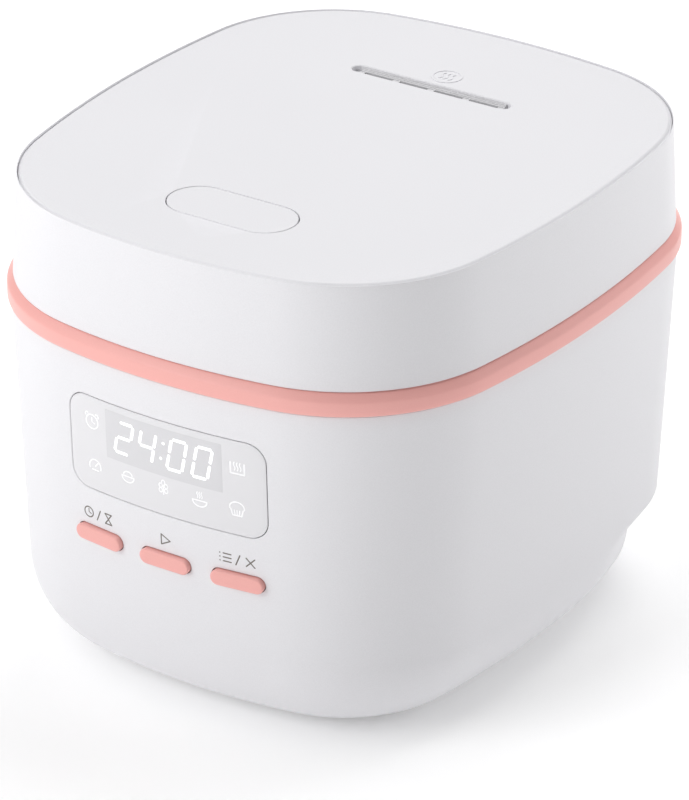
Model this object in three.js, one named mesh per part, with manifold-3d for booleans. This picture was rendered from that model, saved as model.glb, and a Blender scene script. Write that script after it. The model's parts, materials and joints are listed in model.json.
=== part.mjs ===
// Rice cooker: a countertop electric cooker with a hinged lid, a lift-out pot, a lit display window
// and three press buttons. Millimetres, +Z up, front towards -Y, origin on the floor at the middle
// of the bounding box.
//
// The body and the lid share one plan outline, a bowed rectangle made of eight tangent arcs. Every
// wall is a stack of parallel offsets of that outline.

import * as THREE from 'three';
import { mergeVertices } from 'three/addons/utils/BufferGeometryUtils.js';
import Module from 'manifold-3d';

const wasm = await Module();
wasm.setup();

// ---------------------------------------------------------------------------------------------
// Driving dimensions
// ---------------------------------------------------------------------------------------------

const HALF_WIDTH = 110;
const HALF_DEPTH = 125.75;
const SIDE_BOW_RADIUS = 456.6;
const SIDE_BOW_CENTRE_Y = 9.4;
const FRONT_BOW_RADIUS = 262.9;
const REAR_BOW_RADIUS = 337.3;
const FRONT_CORNER_RADIUS = 69.4;
const REAR_CORNER_RADIUS = 64.6;

const TOP_Z = 200;
const PART_GAP = 0.3;
const WALL = 2.6;

// Body wall: it leans out towards the top and rolls under towards the floor.
const WALL_TOP_Z = 147.8;
const ROLL_TOP_Z = 38;
const ROLL_HEIGHT = 36;
const ROLL_WIDTH = 33;
const WALL_TOP_INSET = -0.9;
const WALL_ROLL_INSET = 3.8;
const ROLL_END = 80;
const GRIP_DEPTH = 4;
const GRIP_Z = 19;
const GRIP_SPREAD = 6.5;
const GRIP_START_Y = 25;
const GRIP_FULL_Y = 80;

// Coloured band between the body and the lid.
const BAND_BOTTOM_Z = 148.1;
const BAND_TOP_Z = 157;
const BAND_PROUD = 2.4;
const BAND_INNER_INSET = 4.5;

// Collar round the mouth of the pot.
const COLLAR_INSET = 4.8;
const COLLAR_BORE_RADIUS = 92.4;
const COLLAR_LEDGE_RADIUS = 88.9;
const COLLAR_LEDGE_Z = 148.7;
const COLLAR_TOP_Z = 156.6;

// Cooking chamber.
const POT_RADIUS = 83.6;
const POT_WALL = 1.6;
const POT_FLOOR_Z = 50;
const POT_FLANGE_RADIUS = 89.6;
const POT_FLANGE_Z = 150.6;
const POT_TOP_Z = 152;
const POT_CORNER_RADIUS = 19;
const WELL_RADIUS = 88.2;
const WELL_SHEET = 1.2;
const WELL_FLOOR_Z = 34;
const HEATER_RADIUS = 62;
const HEATER_BOTTOM_Z = 37.7;
const HEATER_TOP_Z = 49.7;
const HEATER_BORE_RADIUS = 15;
const SENSOR_RADIUS = 13;
const SENSOR_BOTTOM_Z = 40;
const SENSOR_TRAVEL = 3;

// Base.
const BASE_INSET = 31.9;
const BASE_BOTTOM_Z = 2.3;
const BASE_TOP_Z = 5;
const FOOT_RADIUS = 8;
const FOOT_X = 60;
const FOOT_FRONT_Y = -60;
const FOOT_REAR_Y = 64;
const BOSS_X = 38;
const BOSS_FRONT_Y = -82;
const BOSS_REAR_Y = 84;

// Control panel on the front.
const WINDOW_WIDTH = 90;
const WINDOW_HEIGHT = 40.6;
const WINDOW_Z = 110.8;
const WINDOW_CORNER = 8;
const WINDOW_THICKNESS = 2.2;
const BOARD_FRONT_Y = -110;
const BOARD_THICKNESS = 1.6;
const BUTTON_WIDTH = 22.6;
const BUTTON_HEIGHT = 6.6;
const BUTTON_Z = 70.5;
const BUTTON_PITCH = 32;
const BUTTON_PROUD = 2.2;
const BUTTON_TRAVEL = 1.2;
const FLANGE_GAP = 0.8;

// Rear cover, mains inlet and hinge.
const REAR_COVER_WIDTH = 116;
const REAR_COVER_BOTTOM_Z = 30;
const REAR_COVER_TOP_Z = 144;
const INLET_Z = 50;
const INLET_WIDTH = 27;
const INLET_HEIGHT = 20;
const INLET_BACK_Y = 104;
const INLET_FACE_Y = 125;
const HINGE_Y = 132.6;
const HINGE_Z = 152;
const HINGE_PIN_RADIUS = 2;
const HINGE_BORE_RADIUS = 2.3;
const HINGE_KNUCKLE_RADIUS = 4.2;
const HINGE_ARM_HALF = 13.4;
const HINGE_LUG_INNER = 13.8;
const HINGE_LUG_OUTER = 24;

// Lid.
const LID_BOTTOM_Z = 157.3;
const LID_TOP_INSET = 2.3;
const PANEL_BOTTOM_Z = 196.7;
const PANEL_INSET = 3.5;
const RELEASE_Y = -77;
const RELEASE_LENGTH = 55;
const RELEASE_WIDTH = 25.2;
const RELEASE_TOP_Z = 199.7;
const VENT_Y = 63;
const VENT_LENGTH = 73.7;
const VENT_WIDTH = 6.5;
const DUCT_LENGTH = 62;
const DUCT_WIDTH = 18;
const DUCT_WALL = 1.6;
const FRAME_BOTTOM_Z = 157.6;
const FRAME_TOP_Z = 160.4;
const FRAME_BORE_RADIUS = 78;
const PLATE_RADIUS = 83.9;
const PLATE_BOTTOM_Z = 155.8;
const PLATE_TOP_Z = 157;
const SLIDER_BOTTOM_Z = 161.2;
const SLIDER_TOP_Z = 166.8;
const LATCH_TRAVEL = 2.5;

// The hinge stands proud at the back, so the plan centre sits forward of the origin.
const FRONT_REACH = HALF_DEPTH + BAND_PROUD;
const REAR_REACH = HINGE_Y + HINGE_KNUCKLE_RADIUS;
const CENTRE_SHIFT_Y = (FRONT_REACH - REAR_REACH) / 2;

const FRONT_STEPS = 4;
const SIDE_STEPS = 4;
const CORNER_STEPS = 8;

// ---------------------------------------------------------------------------------------------
// Materials
// ---------------------------------------------------------------------------------------------

function material(color, roughness, metalness = 0) {
  return () => new THREE.MeshStandardMaterial({ color, roughness, metalness });
}

const WHITE_SHELL = material(0xf2f1f1, 0.42);
const WHITE_INNER = material(0xe9e8e6, 0.5);
const PINK = material(0xf3b4ad, 0.38);
const WINDOW_GLOSS = material(0xe4e5e6, 0.12);
const DISPLAY_GREY = material(0xc9cbcc, 0.35);
const BOARD_GREEN = material(0x2f5a3c, 0.6);
const BLACK_PLASTIC = material(0x1c1c1e, 0.5);
const RUBBER = material(0xb9b8b6, 0.85);
const SILICONE = material(0xdedbd6, 0.6);
const ALUMINIUM = material(0xc6c8ca, 0.34, 1);
const SHEET_STEEL = material(0xaeb1b4, 0.4, 1);
const DARK_COATING = material(0x3b3b3e, 0.45, 0.3);
const BRIGHT_STEEL = material(0xb9bbbd, 0.25, 1);
const BRASS = material(0xc2a05a, 0.35, 1);

// ---------------------------------------------------------------------------------------------
// Solids: cleaning, booleans and simple shapes
// ---------------------------------------------------------------------------------------------

function signedVolume(positions, triangles) {
  const a = new THREE.Vector3();
  const b = new THREE.Vector3();
  const c = new THREE.Vector3();
  let volume = 0;
  for (let i = 0; i < triangles.length; i += 3) {
    a.fromArray(positions, triangles[i] * 3);
    b.fromArray(positions, triangles[i + 1] * 3);
    c.fromArray(positions, triangles[i + 2] * 3);
    volume += a.dot(b.cross(c)) / 6;
  }
  return volume;
}

// A closed solid with shared vertices, no flat triangles and its faces pointing out.
function solid(geometry) {
  const bare = geometry.clone();
  bare.deleteAttribute('normal');
  bare.deleteAttribute('uv');
  const merged = mergeVertices(bare, 1e-4);
  const source = merged.index.array;
  const triangles = [];
  for (let i = 0; i < source.length; i += 3) {
    const [a, b, c] = [source[i], source[i + 1], source[i + 2]];
    if (a !== b && b !== c && c !== a) {
      triangles.push(a, b, c);
    }
  }
  if (signedVolume(merged.attributes.position.array, triangles) < 0) {
    for (let i = 0; i < triangles.length; i += 3) {
      [triangles[i + 1], triangles[i + 2]] = [triangles[i + 2], triangles[i + 1]];
    }
  }
  merged.setIndex(triangles);
  return merged;
}

function toManifold(geometry) {
  const clean = solid(geometry);
  return new wasm.Manifold(new wasm.Mesh({
    numProp: 3,
    vertProperties: new Float32Array(clean.attributes.position.array),
    triVerts: new Uint32Array(clean.index.array),
  }));
}

function fromManifold(manifold) {
  const mesh = manifold.getMesh();
  const geometry = new THREE.BufferGeometry();
  geometry.setAttribute('position', new THREE.Float32BufferAttribute(mesh.vertProperties, 3));
  geometry.setIndex(Array.from(mesh.triVerts));
  return geometry;
}

function cut(base, ...tools) {
  return fromManifold(tools.reduce((left, tool) => left.subtract(toManifold(tool)), toManifold(base)));
}

function join(base, ...others) {
  return fromManifold(others.reduce((sum, other) => sum.add(toManifold(other)), toManifold(base)));
}

function common(base, other) {
  return fromManifold(toManifold(base).intersect(toManifold(other)));
}

function box(x0, x1, y0, y1, z0, z1) {
  const geometry = new THREE.BoxGeometry(x1 - x0, y1 - y0, z1 - z0);
  return geometry.translate((x0 + x1) / 2, (y0 + y1) / 2, (z0 + z1) / 2);
}

// Upright cylinder from z0 to z1.
function post(radius, z0, z1, x = 0, y = 0, segments = 20) {
  const geometry = new THREE.CylinderGeometry(radius, radius, z1 - z0, segments);
  return geometry.rotateX(Math.PI / 2).translate(x, y, (z0 + z1) / 2);
}

// Cylinder lying along X.
function rod(radius, x0, x1, y, z, segments = 18) {
  const geometry = new THREE.CylinderGeometry(radius, radius, x1 - x0, segments);
  return geometry.rotateZ(Math.PI / 2).translate((x0 + x1) / 2, y, z);
}

// Profile of [radius, z] pairs turned about an upright axis.
function turned(profile, segments, x = 0, y = 0) {
  const points = profile.map(([radius, z]) => new THREE.Vector2(radius, z));
  return new THREE.LatheGeometry(points, segments).rotateX(Math.PI / 2).translate(x, y, 0);
}

function roundedRectangle(width, height, radius) {
  const shape = new THREE.Shape();
  const w = width / 2;
  const h = height / 2;
  shape.moveTo(w, -h + radius);
  shape.absarc(w - radius, h - radius, radius, 0, Math.PI / 2);
  shape.absarc(-w + radius, h - radius, radius, Math.PI / 2, Math.PI);
  shape.absarc(-w + radius, -h + radius, radius, Math.PI, Math.PI * 1.5);
  shape.absarc(w - radius, -h + radius, radius, Math.PI * 1.5, Math.PI * 2);
  return shape;
}

// A pill is a rounded rectangle with fully round ends; the ends stop just short of meeting.
function pill(length, width) {
  return roundedRectangle(length, width, width / 2 - 0.01);
}

// Flat shape raised from z0 to z1.
function slab(shape, z0, z1, x = 0, y = 0, curveSegments = 8) {
  const geometry = new THREE.ExtrudeGeometry(shape, { depth: z1 - z0, bevelEnabled: false, curveSegments });
  return geometry.translate(x, y, z0);
}

// Shape drawn in the X-Z plane and pushed along +Y from y0 to y1.
function throughWall(shape, y0, y1, x, z, curveSegments = 8) {
  const geometry = new THREE.ExtrudeGeometry(shape, { depth: y1 - y0, bevelEnabled: false, curveSegments });
  return geometry.rotateX(Math.PI / 2).translate(x, y1, z);
}

// Outline of [y, z] pairs pushed along X from x0 to x1.
function sideProfile(points, x0, x1) {
  const shape = new THREE.Shape(points.map(([y, z]) => new THREE.Vector2(y, z)));
  return extrudeAlongX(shape, x0, x1);
}

function extrudeAlongX(shape, x0, x1, curveSegments = 7) {
  const geometry = new THREE.ExtrudeGeometry(shape, { depth: x1 - x0, bevelEnabled: false, curveSegments });
  const turn = new THREE.Matrix4().makeBasis(
    new THREE.Vector3(0, 1, 0),
    new THREE.Vector3(0, 0, 1),
    new THREE.Vector3(1, 0, 0),
  );
  return geometry.applyMatrix4(turn).translate(x0, 0, 0);
}

// ---------------------------------------------------------------------------------------------
// Plan outline
// ---------------------------------------------------------------------------------------------

// Centre of the corner arc that touches two larger arcs from inside.
function cornerCentre(first, second, radius) {
  const reachA = first.radius - radius;
  const reachB = second.radius - radius;
  const span = Math.hypot(second.x - first.x, second.y - first.y);
  const ux = (second.x - first.x) / span;
  const uy = (second.y - first.y) / span;
  const along = (reachA * reachA - reachB * reachB + span * span) / (2 * span);
  const across = Math.sqrt(reachA * reachA - along * along);
  const candidates = [1, -1].map((side) => ({
    x: first.x + ux * along - uy * across * side,
    y: first.y + uy * along + ux * across * side,
    radius,
  }));
  return candidates[0].x > candidates[1].x ? candidates[0] : candidates[1];
}

const FRONT_ARC = { x: 0, y: -HALF_DEPTH + FRONT_BOW_RADIUS, radius: FRONT_BOW_RADIUS };
const REAR_ARC = { x: 0, y: HALF_DEPTH - REAR_BOW_RADIUS, radius: REAR_BOW_RADIUS };
const SIDE_ARC = { x: HALF_WIDTH - SIDE_BOW_RADIUS, y: SIDE_BOW_CENTRE_Y, radius: SIDE_BOW_RADIUS };
const FRONT_CORNER = cornerCentre(FRONT_ARC, SIDE_ARC, FRONT_CORNER_RADIUS);
const REAR_CORNER = cornerCentre(SIDE_ARC, REAR_ARC, REAR_CORNER_RADIUS);

function bearing(from, to) {
  return Math.atan2(to.y - from.y, to.x - from.x);
}

// Right half of the outline as arc pieces, from the front middle to the rear middle.
const RIGHT_HALF = [
  { arc: FRONT_ARC, start: -Math.PI / 2, end: bearing(FRONT_ARC, FRONT_CORNER), steps: FRONT_STEPS },
  {
    arc: FRONT_CORNER,
    start: bearing(FRONT_ARC, FRONT_CORNER),
    end: bearing(SIDE_ARC, FRONT_CORNER),
    steps: CORNER_STEPS,
  },
  {
    arc: SIDE_ARC,
    start: bearing(SIDE_ARC, FRONT_CORNER),
    end: bearing(SIDE_ARC, REAR_CORNER),
    steps: SIDE_STEPS,
  },
  {
    arc: REAR_CORNER,
    start: bearing(SIDE_ARC, REAR_CORNER),
    end: bearing(REAR_ARC, REAR_CORNER),
    steps: CORNER_STEPS,
  },
  { arc: REAR_ARC, start: bearing(REAR_ARC, REAR_CORNER), end: Math.PI / 2, steps: FRONT_STEPS },
];

// Points of the outline, anticlockwise from the front middle; insetAt(y) may vary round it.
function planRing(z, insetAt) {
  const right = [];
  for (const { arc, start, end, steps } of RIGHT_HALF) {
    for (let i = 0; i < steps; i += 1) {
      const angle = start + ((end - start) * i) / steps;
      const onOutline = arc.y + arc.radius * Math.sin(angle);
      const radius = arc.radius - insetAt(onOutline);
      right.push([arc.x + radius * Math.cos(angle), arc.y + radius * Math.sin(angle)]);
    }
  }
  right[0][0] = 0;
  const rearMiddle = [0, HALF_DEPTH - insetAt(HALF_DEPTH)];
  const left = right.slice(1).reverse().map(([x, y]) => [-x, y]);
  return [...right, rearMiddle, ...left].map(([x, y]) => new THREE.Vector3(x, y, z));
}

function evenRing(z, inset) {
  return planRing(z, () => inset);
}

// Skin over a stack of rings. A closed stack returns to its first ring; an open one gets flat ends.
function stack(rings, closed) {
  const count = rings[0].length;
  const positions = rings.flat().flatMap((point) => [point.x, point.y, point.z]);
  const triangles = [];
  const bands = closed ? rings.length : rings.length - 1;
  for (let band = 0; band < bands; band += 1) {
    const low = band * count;
    const high = ((band + 1) % rings.length) * count;
    for (let i = 0; i < count; i += 1) {
      const next = (i + 1) % count;
      triangles.push(low + i, low + next, high + next);
      triangles.push(low + i, high + next, high + i);
    }
  }
  if (!closed) {
    const top = (rings.length - 1) * count;
    for (let i = 1; i < count - 1; i += 1) {
      triangles.push(0, i + 1, i);
      triangles.push(top, top + i, top + i + 1);
    }
  }
  const geometry = new THREE.BufferGeometry();
  geometry.setAttribute('position', new THREE.Float32BufferAttribute(positions, 3));
  geometry.setIndex(triangles);
  return geometry;
}

// ---------------------------------------------------------------------------------------------
// Body wall surface
// ---------------------------------------------------------------------------------------------

function smoothStep(low, high, value) {
  const t = THREE.MathUtils.clamp((value - low) / (high - low), 0, 1);
  return t * t * (3 - 2 * t);
}

// Shallow finger hollow round the lower rear corners.
function gripDepth(z, y) {
  const height = Math.exp(-(((z - GRIP_Z) / GRIP_SPREAD) ** 2));
  return GRIP_DEPTH * height * smoothStep(GRIP_START_Y, GRIP_FULL_Y, y);
}

// Inset of the straight part of the wall at a height.
function wallInset(z) {
  const rise = (z - ROLL_TOP_Z) / (WALL_TOP_Z - ROLL_TOP_Z);
  return WALL_ROLL_INSET + (WALL_TOP_INSET - WALL_ROLL_INSET) * rise;
}

function wallRing(z, depth) {
  return planRing(z, (y) => wallInset(z) + depth + gripDepth(z, y));
}

// Ring on the rolled-under foot of the wall; degrees run from 0 at its top to 90 at the floor.
function rollRing(degrees, depth) {
  const angle = THREE.MathUtils.degToRad(degrees);
  const z = ROLL_TOP_Z - (ROLL_HEIGHT - depth) * Math.sin(angle);
  const inset = WALL_ROLL_INSET + ROLL_WIDTH - (ROLL_WIDTH - depth) * Math.cos(angle);
  return planRing(z, (y) => inset + gripDepth(z, y));
}

// Slice of the wall between two depths, used to shape the pieces set flush into it.
function wallSkin(depthOut, depthIn, z0, z1) {
  return stack([
    wallRing(z0, depthOut),
    wallRing(z1, depthOut),
    wallRing(z1, depthIn),
    wallRing(z0, depthIn),
  ], true);
}

// ---------------------------------------------------------------------------------------------
// Front buttons: each stands square to the bowed front
// ---------------------------------------------------------------------------------------------

const FRONT_LEAN = Math.atan((WALL_ROLL_INSET - WALL_TOP_INSET) / (WALL_TOP_Z - ROLL_TOP_Z));

function buttonFrame(index) {
  const x = index * BUTTON_PITCH;
  const radius = FRONT_BOW_RADIUS - wallInset(BUTTON_Z);
  const turn = Math.asin(x / radius);
  const y = FRONT_ARC.y - radius * Math.cos(turn);
  const frame = new THREE.Matrix4().makeTranslation(x, y, BUTTON_Z);
  frame.multiply(new THREE.Matrix4().makeRotationZ(turn));
  frame.multiply(new THREE.Matrix4().makeRotationX(FRONT_LEAN));
  return frame;
}

// Shape in the button's own frame, from depth a to depth b behind the wall surface.
function inButtonFrame(shape, a, b, index) {
  return throughWall(shape, a, b, 0, 0, 4).applyMatrix4(buttonFrame(index));
}

// ---------------------------------------------------------------------------------------------
// Body pieces
// ---------------------------------------------------------------------------------------------

function bossWithWeb(x, y) {
  const outward = Math.atan2(y, x);
  const web = box(0, 34, -1.1, 1.1, 8, 20).rotateZ(outward).translate(x, y, 0);
  return join(post(4.2, BASE_TOP_Z + PART_GAP, 22, x, y, 12), web);
}

function bossPositions() {
  return [
    [-BOSS_X, BOSS_FRONT_Y],
    [BOSS_X, BOSS_FRONT_Y],
    [-BOSS_X, BOSS_REAR_Y],
    [BOSS_X, BOSS_REAR_Y],
  ];
}

function bodyShell() {
  const outside = [ROLL_END, 66, 53, 41, 31, 22, 12].map((degrees) => rollRing(degrees, 0));
  outside.push(wallRing(ROLL_TOP_Z, 0), wallRing(WALL_TOP_Z - 0.8, 0));
  outside.push(wallRing(WALL_TOP_Z, 0.8));
  const inside = [wallRing(WALL_TOP_Z, WALL), wallRing(ROLL_TOP_Z, WALL)];
  inside.push(...[22, 36, 56, ROLL_END].map((degrees) => rollRing(degrees, WALL)));
  const wall = stack([...outside, ...inside], true);

  const core = stack([
    ...[ROLL_END, 56, 36, 22].map((degrees) => rollRing(degrees, WALL / 2)),
    wallRing(60, WALL / 2),
  ], false);
  const bosses = bossPositions().map(([x, y]) => common(bossWithWeb(x, y), core));
  const pilots = bossPositions().map(([x, y]) => post(1.6, 0, 18, x, y, 8));

  const windowHole = throughWall(
    roundedRectangle(WINDOW_WIDTH + 2 * PART_GAP, WINDOW_HEIGHT + 2 * PART_GAP, WINDOW_CORNER),
    -140, -100, 0, WINDOW_Z,
  );
  const buttonHoles = [-1, 0, 1].map((index) => inButtonFrame(
    pill(BUTTON_WIDTH + 2 * PART_GAP, BUTTON_HEIGHT + 2 * PART_GAP), -8, 8, index,
  ));
  const rearHole = throughWall(rearCoverShape(PART_GAP), 100, 140, 0, rearCoverMiddleZ());
  return cut(join(wall, ...bosses), ...pilots, windowHole, ...buttonHoles, rearHole);
}

function decoBand() {
  return stack([
    evenRing(BAND_BOTTOM_Z, -1.2),
    evenRing(BAND_BOTTOM_Z + 1.2, -BAND_PROUD),
    evenRing(BAND_TOP_Z - 3.2, -BAND_PROUD),
    evenRing(BAND_TOP_Z - 1, -1.6),
    evenRing(BAND_TOP_Z, 0.6),
    evenRing(BAND_TOP_Z, BAND_INNER_INSET),
    evenRing(BAND_BOTTOM_Z, BAND_INNER_INSET),
  ], true);
}

// The collar carries the chamber on a ledge, and its front pocket takes the latch hook.
function collarRing() {
  const ring = stack([
    evenRing(BAND_BOTTOM_Z - 2, COLLAR_INSET),
    evenRing(COLLAR_TOP_Z - 0.4, COLLAR_INSET),
    evenRing(COLLAR_TOP_Z, COLLAR_INSET + 0.8),
  ], false);
  const mouth = turned([
    [0, 140],
    [COLLAR_LEDGE_RADIUS, 140],
    [COLLAR_LEDGE_RADIUS, COLLAR_LEDGE_Z],
    [COLLAR_BORE_RADIUS, COLLAR_LEDGE_Z],
    [COLLAR_BORE_RADIUS, 152.8],
    [COLLAR_BORE_RADIUS + 8, COLLAR_TOP_Z + 0.1],
    [COLLAR_BORE_RADIUS + 8, 160],
    [0, 160],
  ], 48);
  const pocket = box(-15, 15, -113.1, -102.2, 140, 160);
  const underLip = box(-15, 15, -116, -110, 140, 153.4);
  return cut(ring, mouth, pocket, underLip);
}

function innerPot() {
  const outer = POT_RADIUS;
  const inner = POT_RADIUS - POT_WALL;
  const floor = POT_FLOOR_Z;
  const profile = [[0, floor], [outer - POT_CORNER_RADIUS, floor]];
  const steps = 4;
  for (let i = 1; i <= steps; i += 1) {
    const angle = (Math.PI / 2) * (i / steps);
    profile.push([
      outer - POT_CORNER_RADIUS * (1 - Math.sin(angle)),
      floor + POT_CORNER_RADIUS * (1 - Math.cos(angle)),
    ]);
  }
  profile.push([outer, POT_FLANGE_Z], [POT_FLANGE_RADIUS, POT_FLANGE_Z]);
  profile.push([POT_FLANGE_RADIUS, POT_TOP_Z], [inner + 0.6, POT_TOP_Z], [inner, POT_TOP_Z - 0.8]);
  const innerCorner = POT_CORNER_RADIUS - POT_WALL;
  for (let i = steps; i >= 0; i -= 1) {
    const angle = (Math.PI / 2) * (i / steps);
    profile.push([
      inner - innerCorner * (1 - Math.sin(angle)),
      floor + POT_WALL + innerCorner * (1 - Math.cos(angle)),
    ]);
  }
  profile.push([0, floor + POT_WALL]);
  return turned(profile, 42);
}

function potWell() {
  const bore = WELL_RADIUS - WELL_SHEET;
  return turned([
    [66, WELL_FLOOR_Z],
    [WELL_RADIUS, WELL_FLOOR_Z],
    [WELL_RADIUS, COLLAR_LEDGE_Z + PART_GAP],
    [COLLAR_BORE_RADIUS - 0.5, COLLAR_LEDGE_Z + PART_GAP],
    [COLLAR_BORE_RADIUS - 0.5, POT_FLANGE_Z - PART_GAP],
    [bore, POT_FLANGE_Z - PART_GAP],
    [bore, WELL_FLOOR_Z + WELL_SHEET],
    [66, WELL_FLOOR_Z + WELL_SHEET],
    [66, WELL_FLOOR_Z],
  ], 40);
}

function heatingPlate() {
  const disc = turned([
    [HEATER_BORE_RADIUS, HEATER_BOTTOM_Z],
    [HEATER_RADIUS - 3, HEATER_BOTTOM_Z],
    [HEATER_RADIUS, HEATER_BOTTOM_Z + 3],
    [HEATER_RADIUS, HEATER_TOP_Z - 1],
    [HEATER_RADIUS - 1, HEATER_TOP_Z],
    [HEATER_BORE_RADIUS, HEATER_TOP_Z],
    [HEATER_BORE_RADIUS, HEATER_BOTTOM_Z],
  ], 36);
  const legs = [90, 210, 330].map((degrees) => {
    const angle = THREE.MathUtils.degToRad(degrees);
    const legZ = BASE_TOP_Z + PART_GAP;
    return post(4.5, legZ, HEATER_BOTTOM_Z + 1, 50 * Math.cos(angle), 50 * Math.sin(angle), 10);
  });
  return join(disc, ...legs);
}

function sensorCap() {
  const skin = 1.6;
  return turned([
    [SENSOR_RADIUS - skin, SENSOR_BOTTOM_Z],
    [SENSOR_RADIUS, SENSOR_BOTTOM_Z],
    [SENSOR_RADIUS, HEATER_TOP_Z - 0.6],
    [SENSOR_RADIUS - 0.6, HEATER_TOP_Z],
    [0, HEATER_TOP_Z],
    [0, HEATER_TOP_Z - skin],
    [SENSOR_RADIUS - skin, HEATER_TOP_Z - skin],
    [SENSOR_RADIUS - skin, SENSOR_BOTTOM_Z],
  ], 24);
}

// Cup under the heating plate that holds the sensor spring.
function sensorBracket() {
  const floorZ = SENSOR_BOTTOM_Z - SENSOR_TRAVEL - 10;
  return turned([
    [0, floorZ],
    [19, floorZ],
    [19, HEATER_BOTTOM_Z - PART_GAP],
    [17.6, HEATER_BOTTOM_Z - PART_GAP],
    [17.6, floorZ + 1.2],
    [0, floorZ + 1.2],
  ], 20);
}

// Coil of round wire; it runs from start to end along the given axis.
function coilSpring(start, end, coilRadius, wireRadius, turns) {
  class CoilCurve extends THREE.Curve {
    getPoint(t, target = new THREE.Vector3()) {
      const angle = t * turns * Math.PI * 2;
      const length = end - start;
      return target.set(coilRadius * Math.cos(angle), coilRadius * Math.sin(angle), start + t * length);
    }
  }
  const wire = new THREE.Shape();
  wire.absarc(0, 0, wireRadius, 0, Math.PI * 2);
  return new THREE.ExtrudeGeometry(wire, {
    steps: turns * 8,
    curveSegments: 2,
    extrudePath: new CoilCurve(),
  });
}

function sensorSpring() {
  const start = SENSOR_BOTTOM_Z - SENSOR_TRAVEL - 10 + 1.2 + PART_GAP + 0.7;
  const end = HEATER_TOP_Z - 1.6 - PART_GAP - 0.7;
  return coilSpring(start, end, 8, 0.7, 5);
}

function basePlate() {
  const plate = stack([
    evenRing(BASE_BOTTOM_Z, BASE_INSET + 0.6),
    evenRing(BASE_BOTTOM_Z + 0.6, BASE_INSET),
    evenRing(BASE_TOP_Z, BASE_INSET),
  ], false);
  const tools = [];
  for (const [x, y] of footPositions()) {
    tools.push(post(2.9, 0, 10, x, y, 12));
  }
  for (const [x, y] of bossPositions()) {
    tools.push(post(2.1, 0, 10, x, y, 10));
    tools.push(post(4.2, 0, BASE_BOTTOM_Z + 1.1, x, y, 12));
  }
  for (let row = -2; row <= 2; row += 1) {
    const y = row * 8 + 4;
    tools.push(box(-17, 17, y - 1.3, y + 1.3, 0, 10));
  }
  return cut(plate, ...tools);
}

function footPositions() {
  return [
    [-FOOT_X, FOOT_FRONT_Y],
    [FOOT_X, FOOT_FRONT_Y],
    [-FOOT_X, FOOT_REAR_Y],
    [FOOT_X, FOOT_REAR_Y],
  ];
}

// Rubber foot with a stem pushed into the base plate.
function foot([x, y]) {
  return turned([
    [0, 0],
    [FOOT_RADIUS - 0.8, 0],
    [FOOT_RADIUS, 0.8],
    [FOOT_RADIUS, BASE_BOTTOM_Z - PART_GAP],
    [2.6, BASE_BOTTOM_Z - PART_GAP],
    [2.6, BASE_TOP_Z + 1.5],
    [0, BASE_TOP_Z + 1.5],
  ], 16, x, y);
}

// Pan-head screw with a cross recess; the head faces down.
function screw(x, y, headZ) {
  const body = turned([
    [0, headZ],
    [2.6, headZ],
    [3.6, headZ + 0.7],
    [3.6, headZ + 1],
    [1.3, headZ + 1],
    [1.3, headZ + 12],
    [0, headZ + 13],
  ], 12, x, y);
  const recess = join(
    box(x - 1.8, x + 1.8, y - 0.35, y + 0.35, headZ - 1, headZ + 0.6),
    box(x - 0.35, x + 0.35, y - 1.8, y + 1.8, headZ - 1, headZ + 0.6),
  );
  return cut(body, recess);
}

// Mains board under the chamber, with its relay, capacitor and terminal block.
function powerBoard() {
  return join(
    box(-29, 29, -98, -50, 12, 13.6),
    box(-24, -6, -92, -76, 13, 27),
    post(6, 13, 30, 16, -82, 20),
    box(-22, 20, -64, -54, 13, 22),
  );
}

// ---------------------------------------------------------------------------------------------
// Control panel
// ---------------------------------------------------------------------------------------------

function displayWindow() {
  const shape = roundedRectangle(WINDOW_WIDTH, WINDOW_HEIGHT, WINDOW_CORNER - PART_GAP);
  return common(
    wallSkin(0, WINDOW_THICKNESS, 80, 140),
    throughWall(shape, -140, -100, 0, WINDOW_Z),
  );
}

function displayModule() {
  const body = box(-28, 28, -119.2, BOARD_FRONT_Y - PART_GAP, 103.6, 131);
  const face = box(-25.5, 25.5, -125, -118.4, 106.6, 128);
  return cut(body, face);
}

function controlBoard() {
  return box(-47, 47, BOARD_FRONT_Y, BOARD_FRONT_Y + BOARD_THICKNESS, 60, 133);
}

// The plunger meets the button's stem at the end of the button's travel.
function tactSwitch(index) {
  const x = index * BUTTON_PITCH * 0.985;
  const back = BOARD_FRONT_Y - PART_GAP;
  const housing = box(x - 3, x + 3, back - 2.6, back, BUTTON_Z - 3.4, BUTTON_Z + 2.6);
  const plunger = new THREE.CylinderGeometry(1.6, 1.6, 2, 14).translate(x, back - 2.6, BUTTON_Z - 0.4);
  return join(housing, plunger);
}

function frontButton(index) {
  const cap = throughWallBevelled(BUTTON_WIDTH, BUTTON_HEIGHT);
  const flange = throughWall(pill(BUTTON_WIDTH + 3, BUTTON_HEIGHT + 3), WALL + FLANGE_GAP, WALL + 2, 0, 0, 2);
  const stemEnd = buttonStemEnd(index);
  const stem = box(-2, 2, WALL + 1, stemEnd, -2, 2);
  return join(cap, flange, stem).applyMatrix4(buttonFrame(index));
}

// Depth at which the stem stops, leaving the travel free in front of the switch.
function buttonStemEnd(index) {
  const frame = buttonFrame(index);
  const surfaceY = new THREE.Vector3().setFromMatrixPosition(frame).y;
  const plungerY = BOARD_FRONT_Y - PART_GAP - 3.6;
  return plungerY - surfaceY - BUTTON_TRAVEL - PART_GAP;
}

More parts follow.
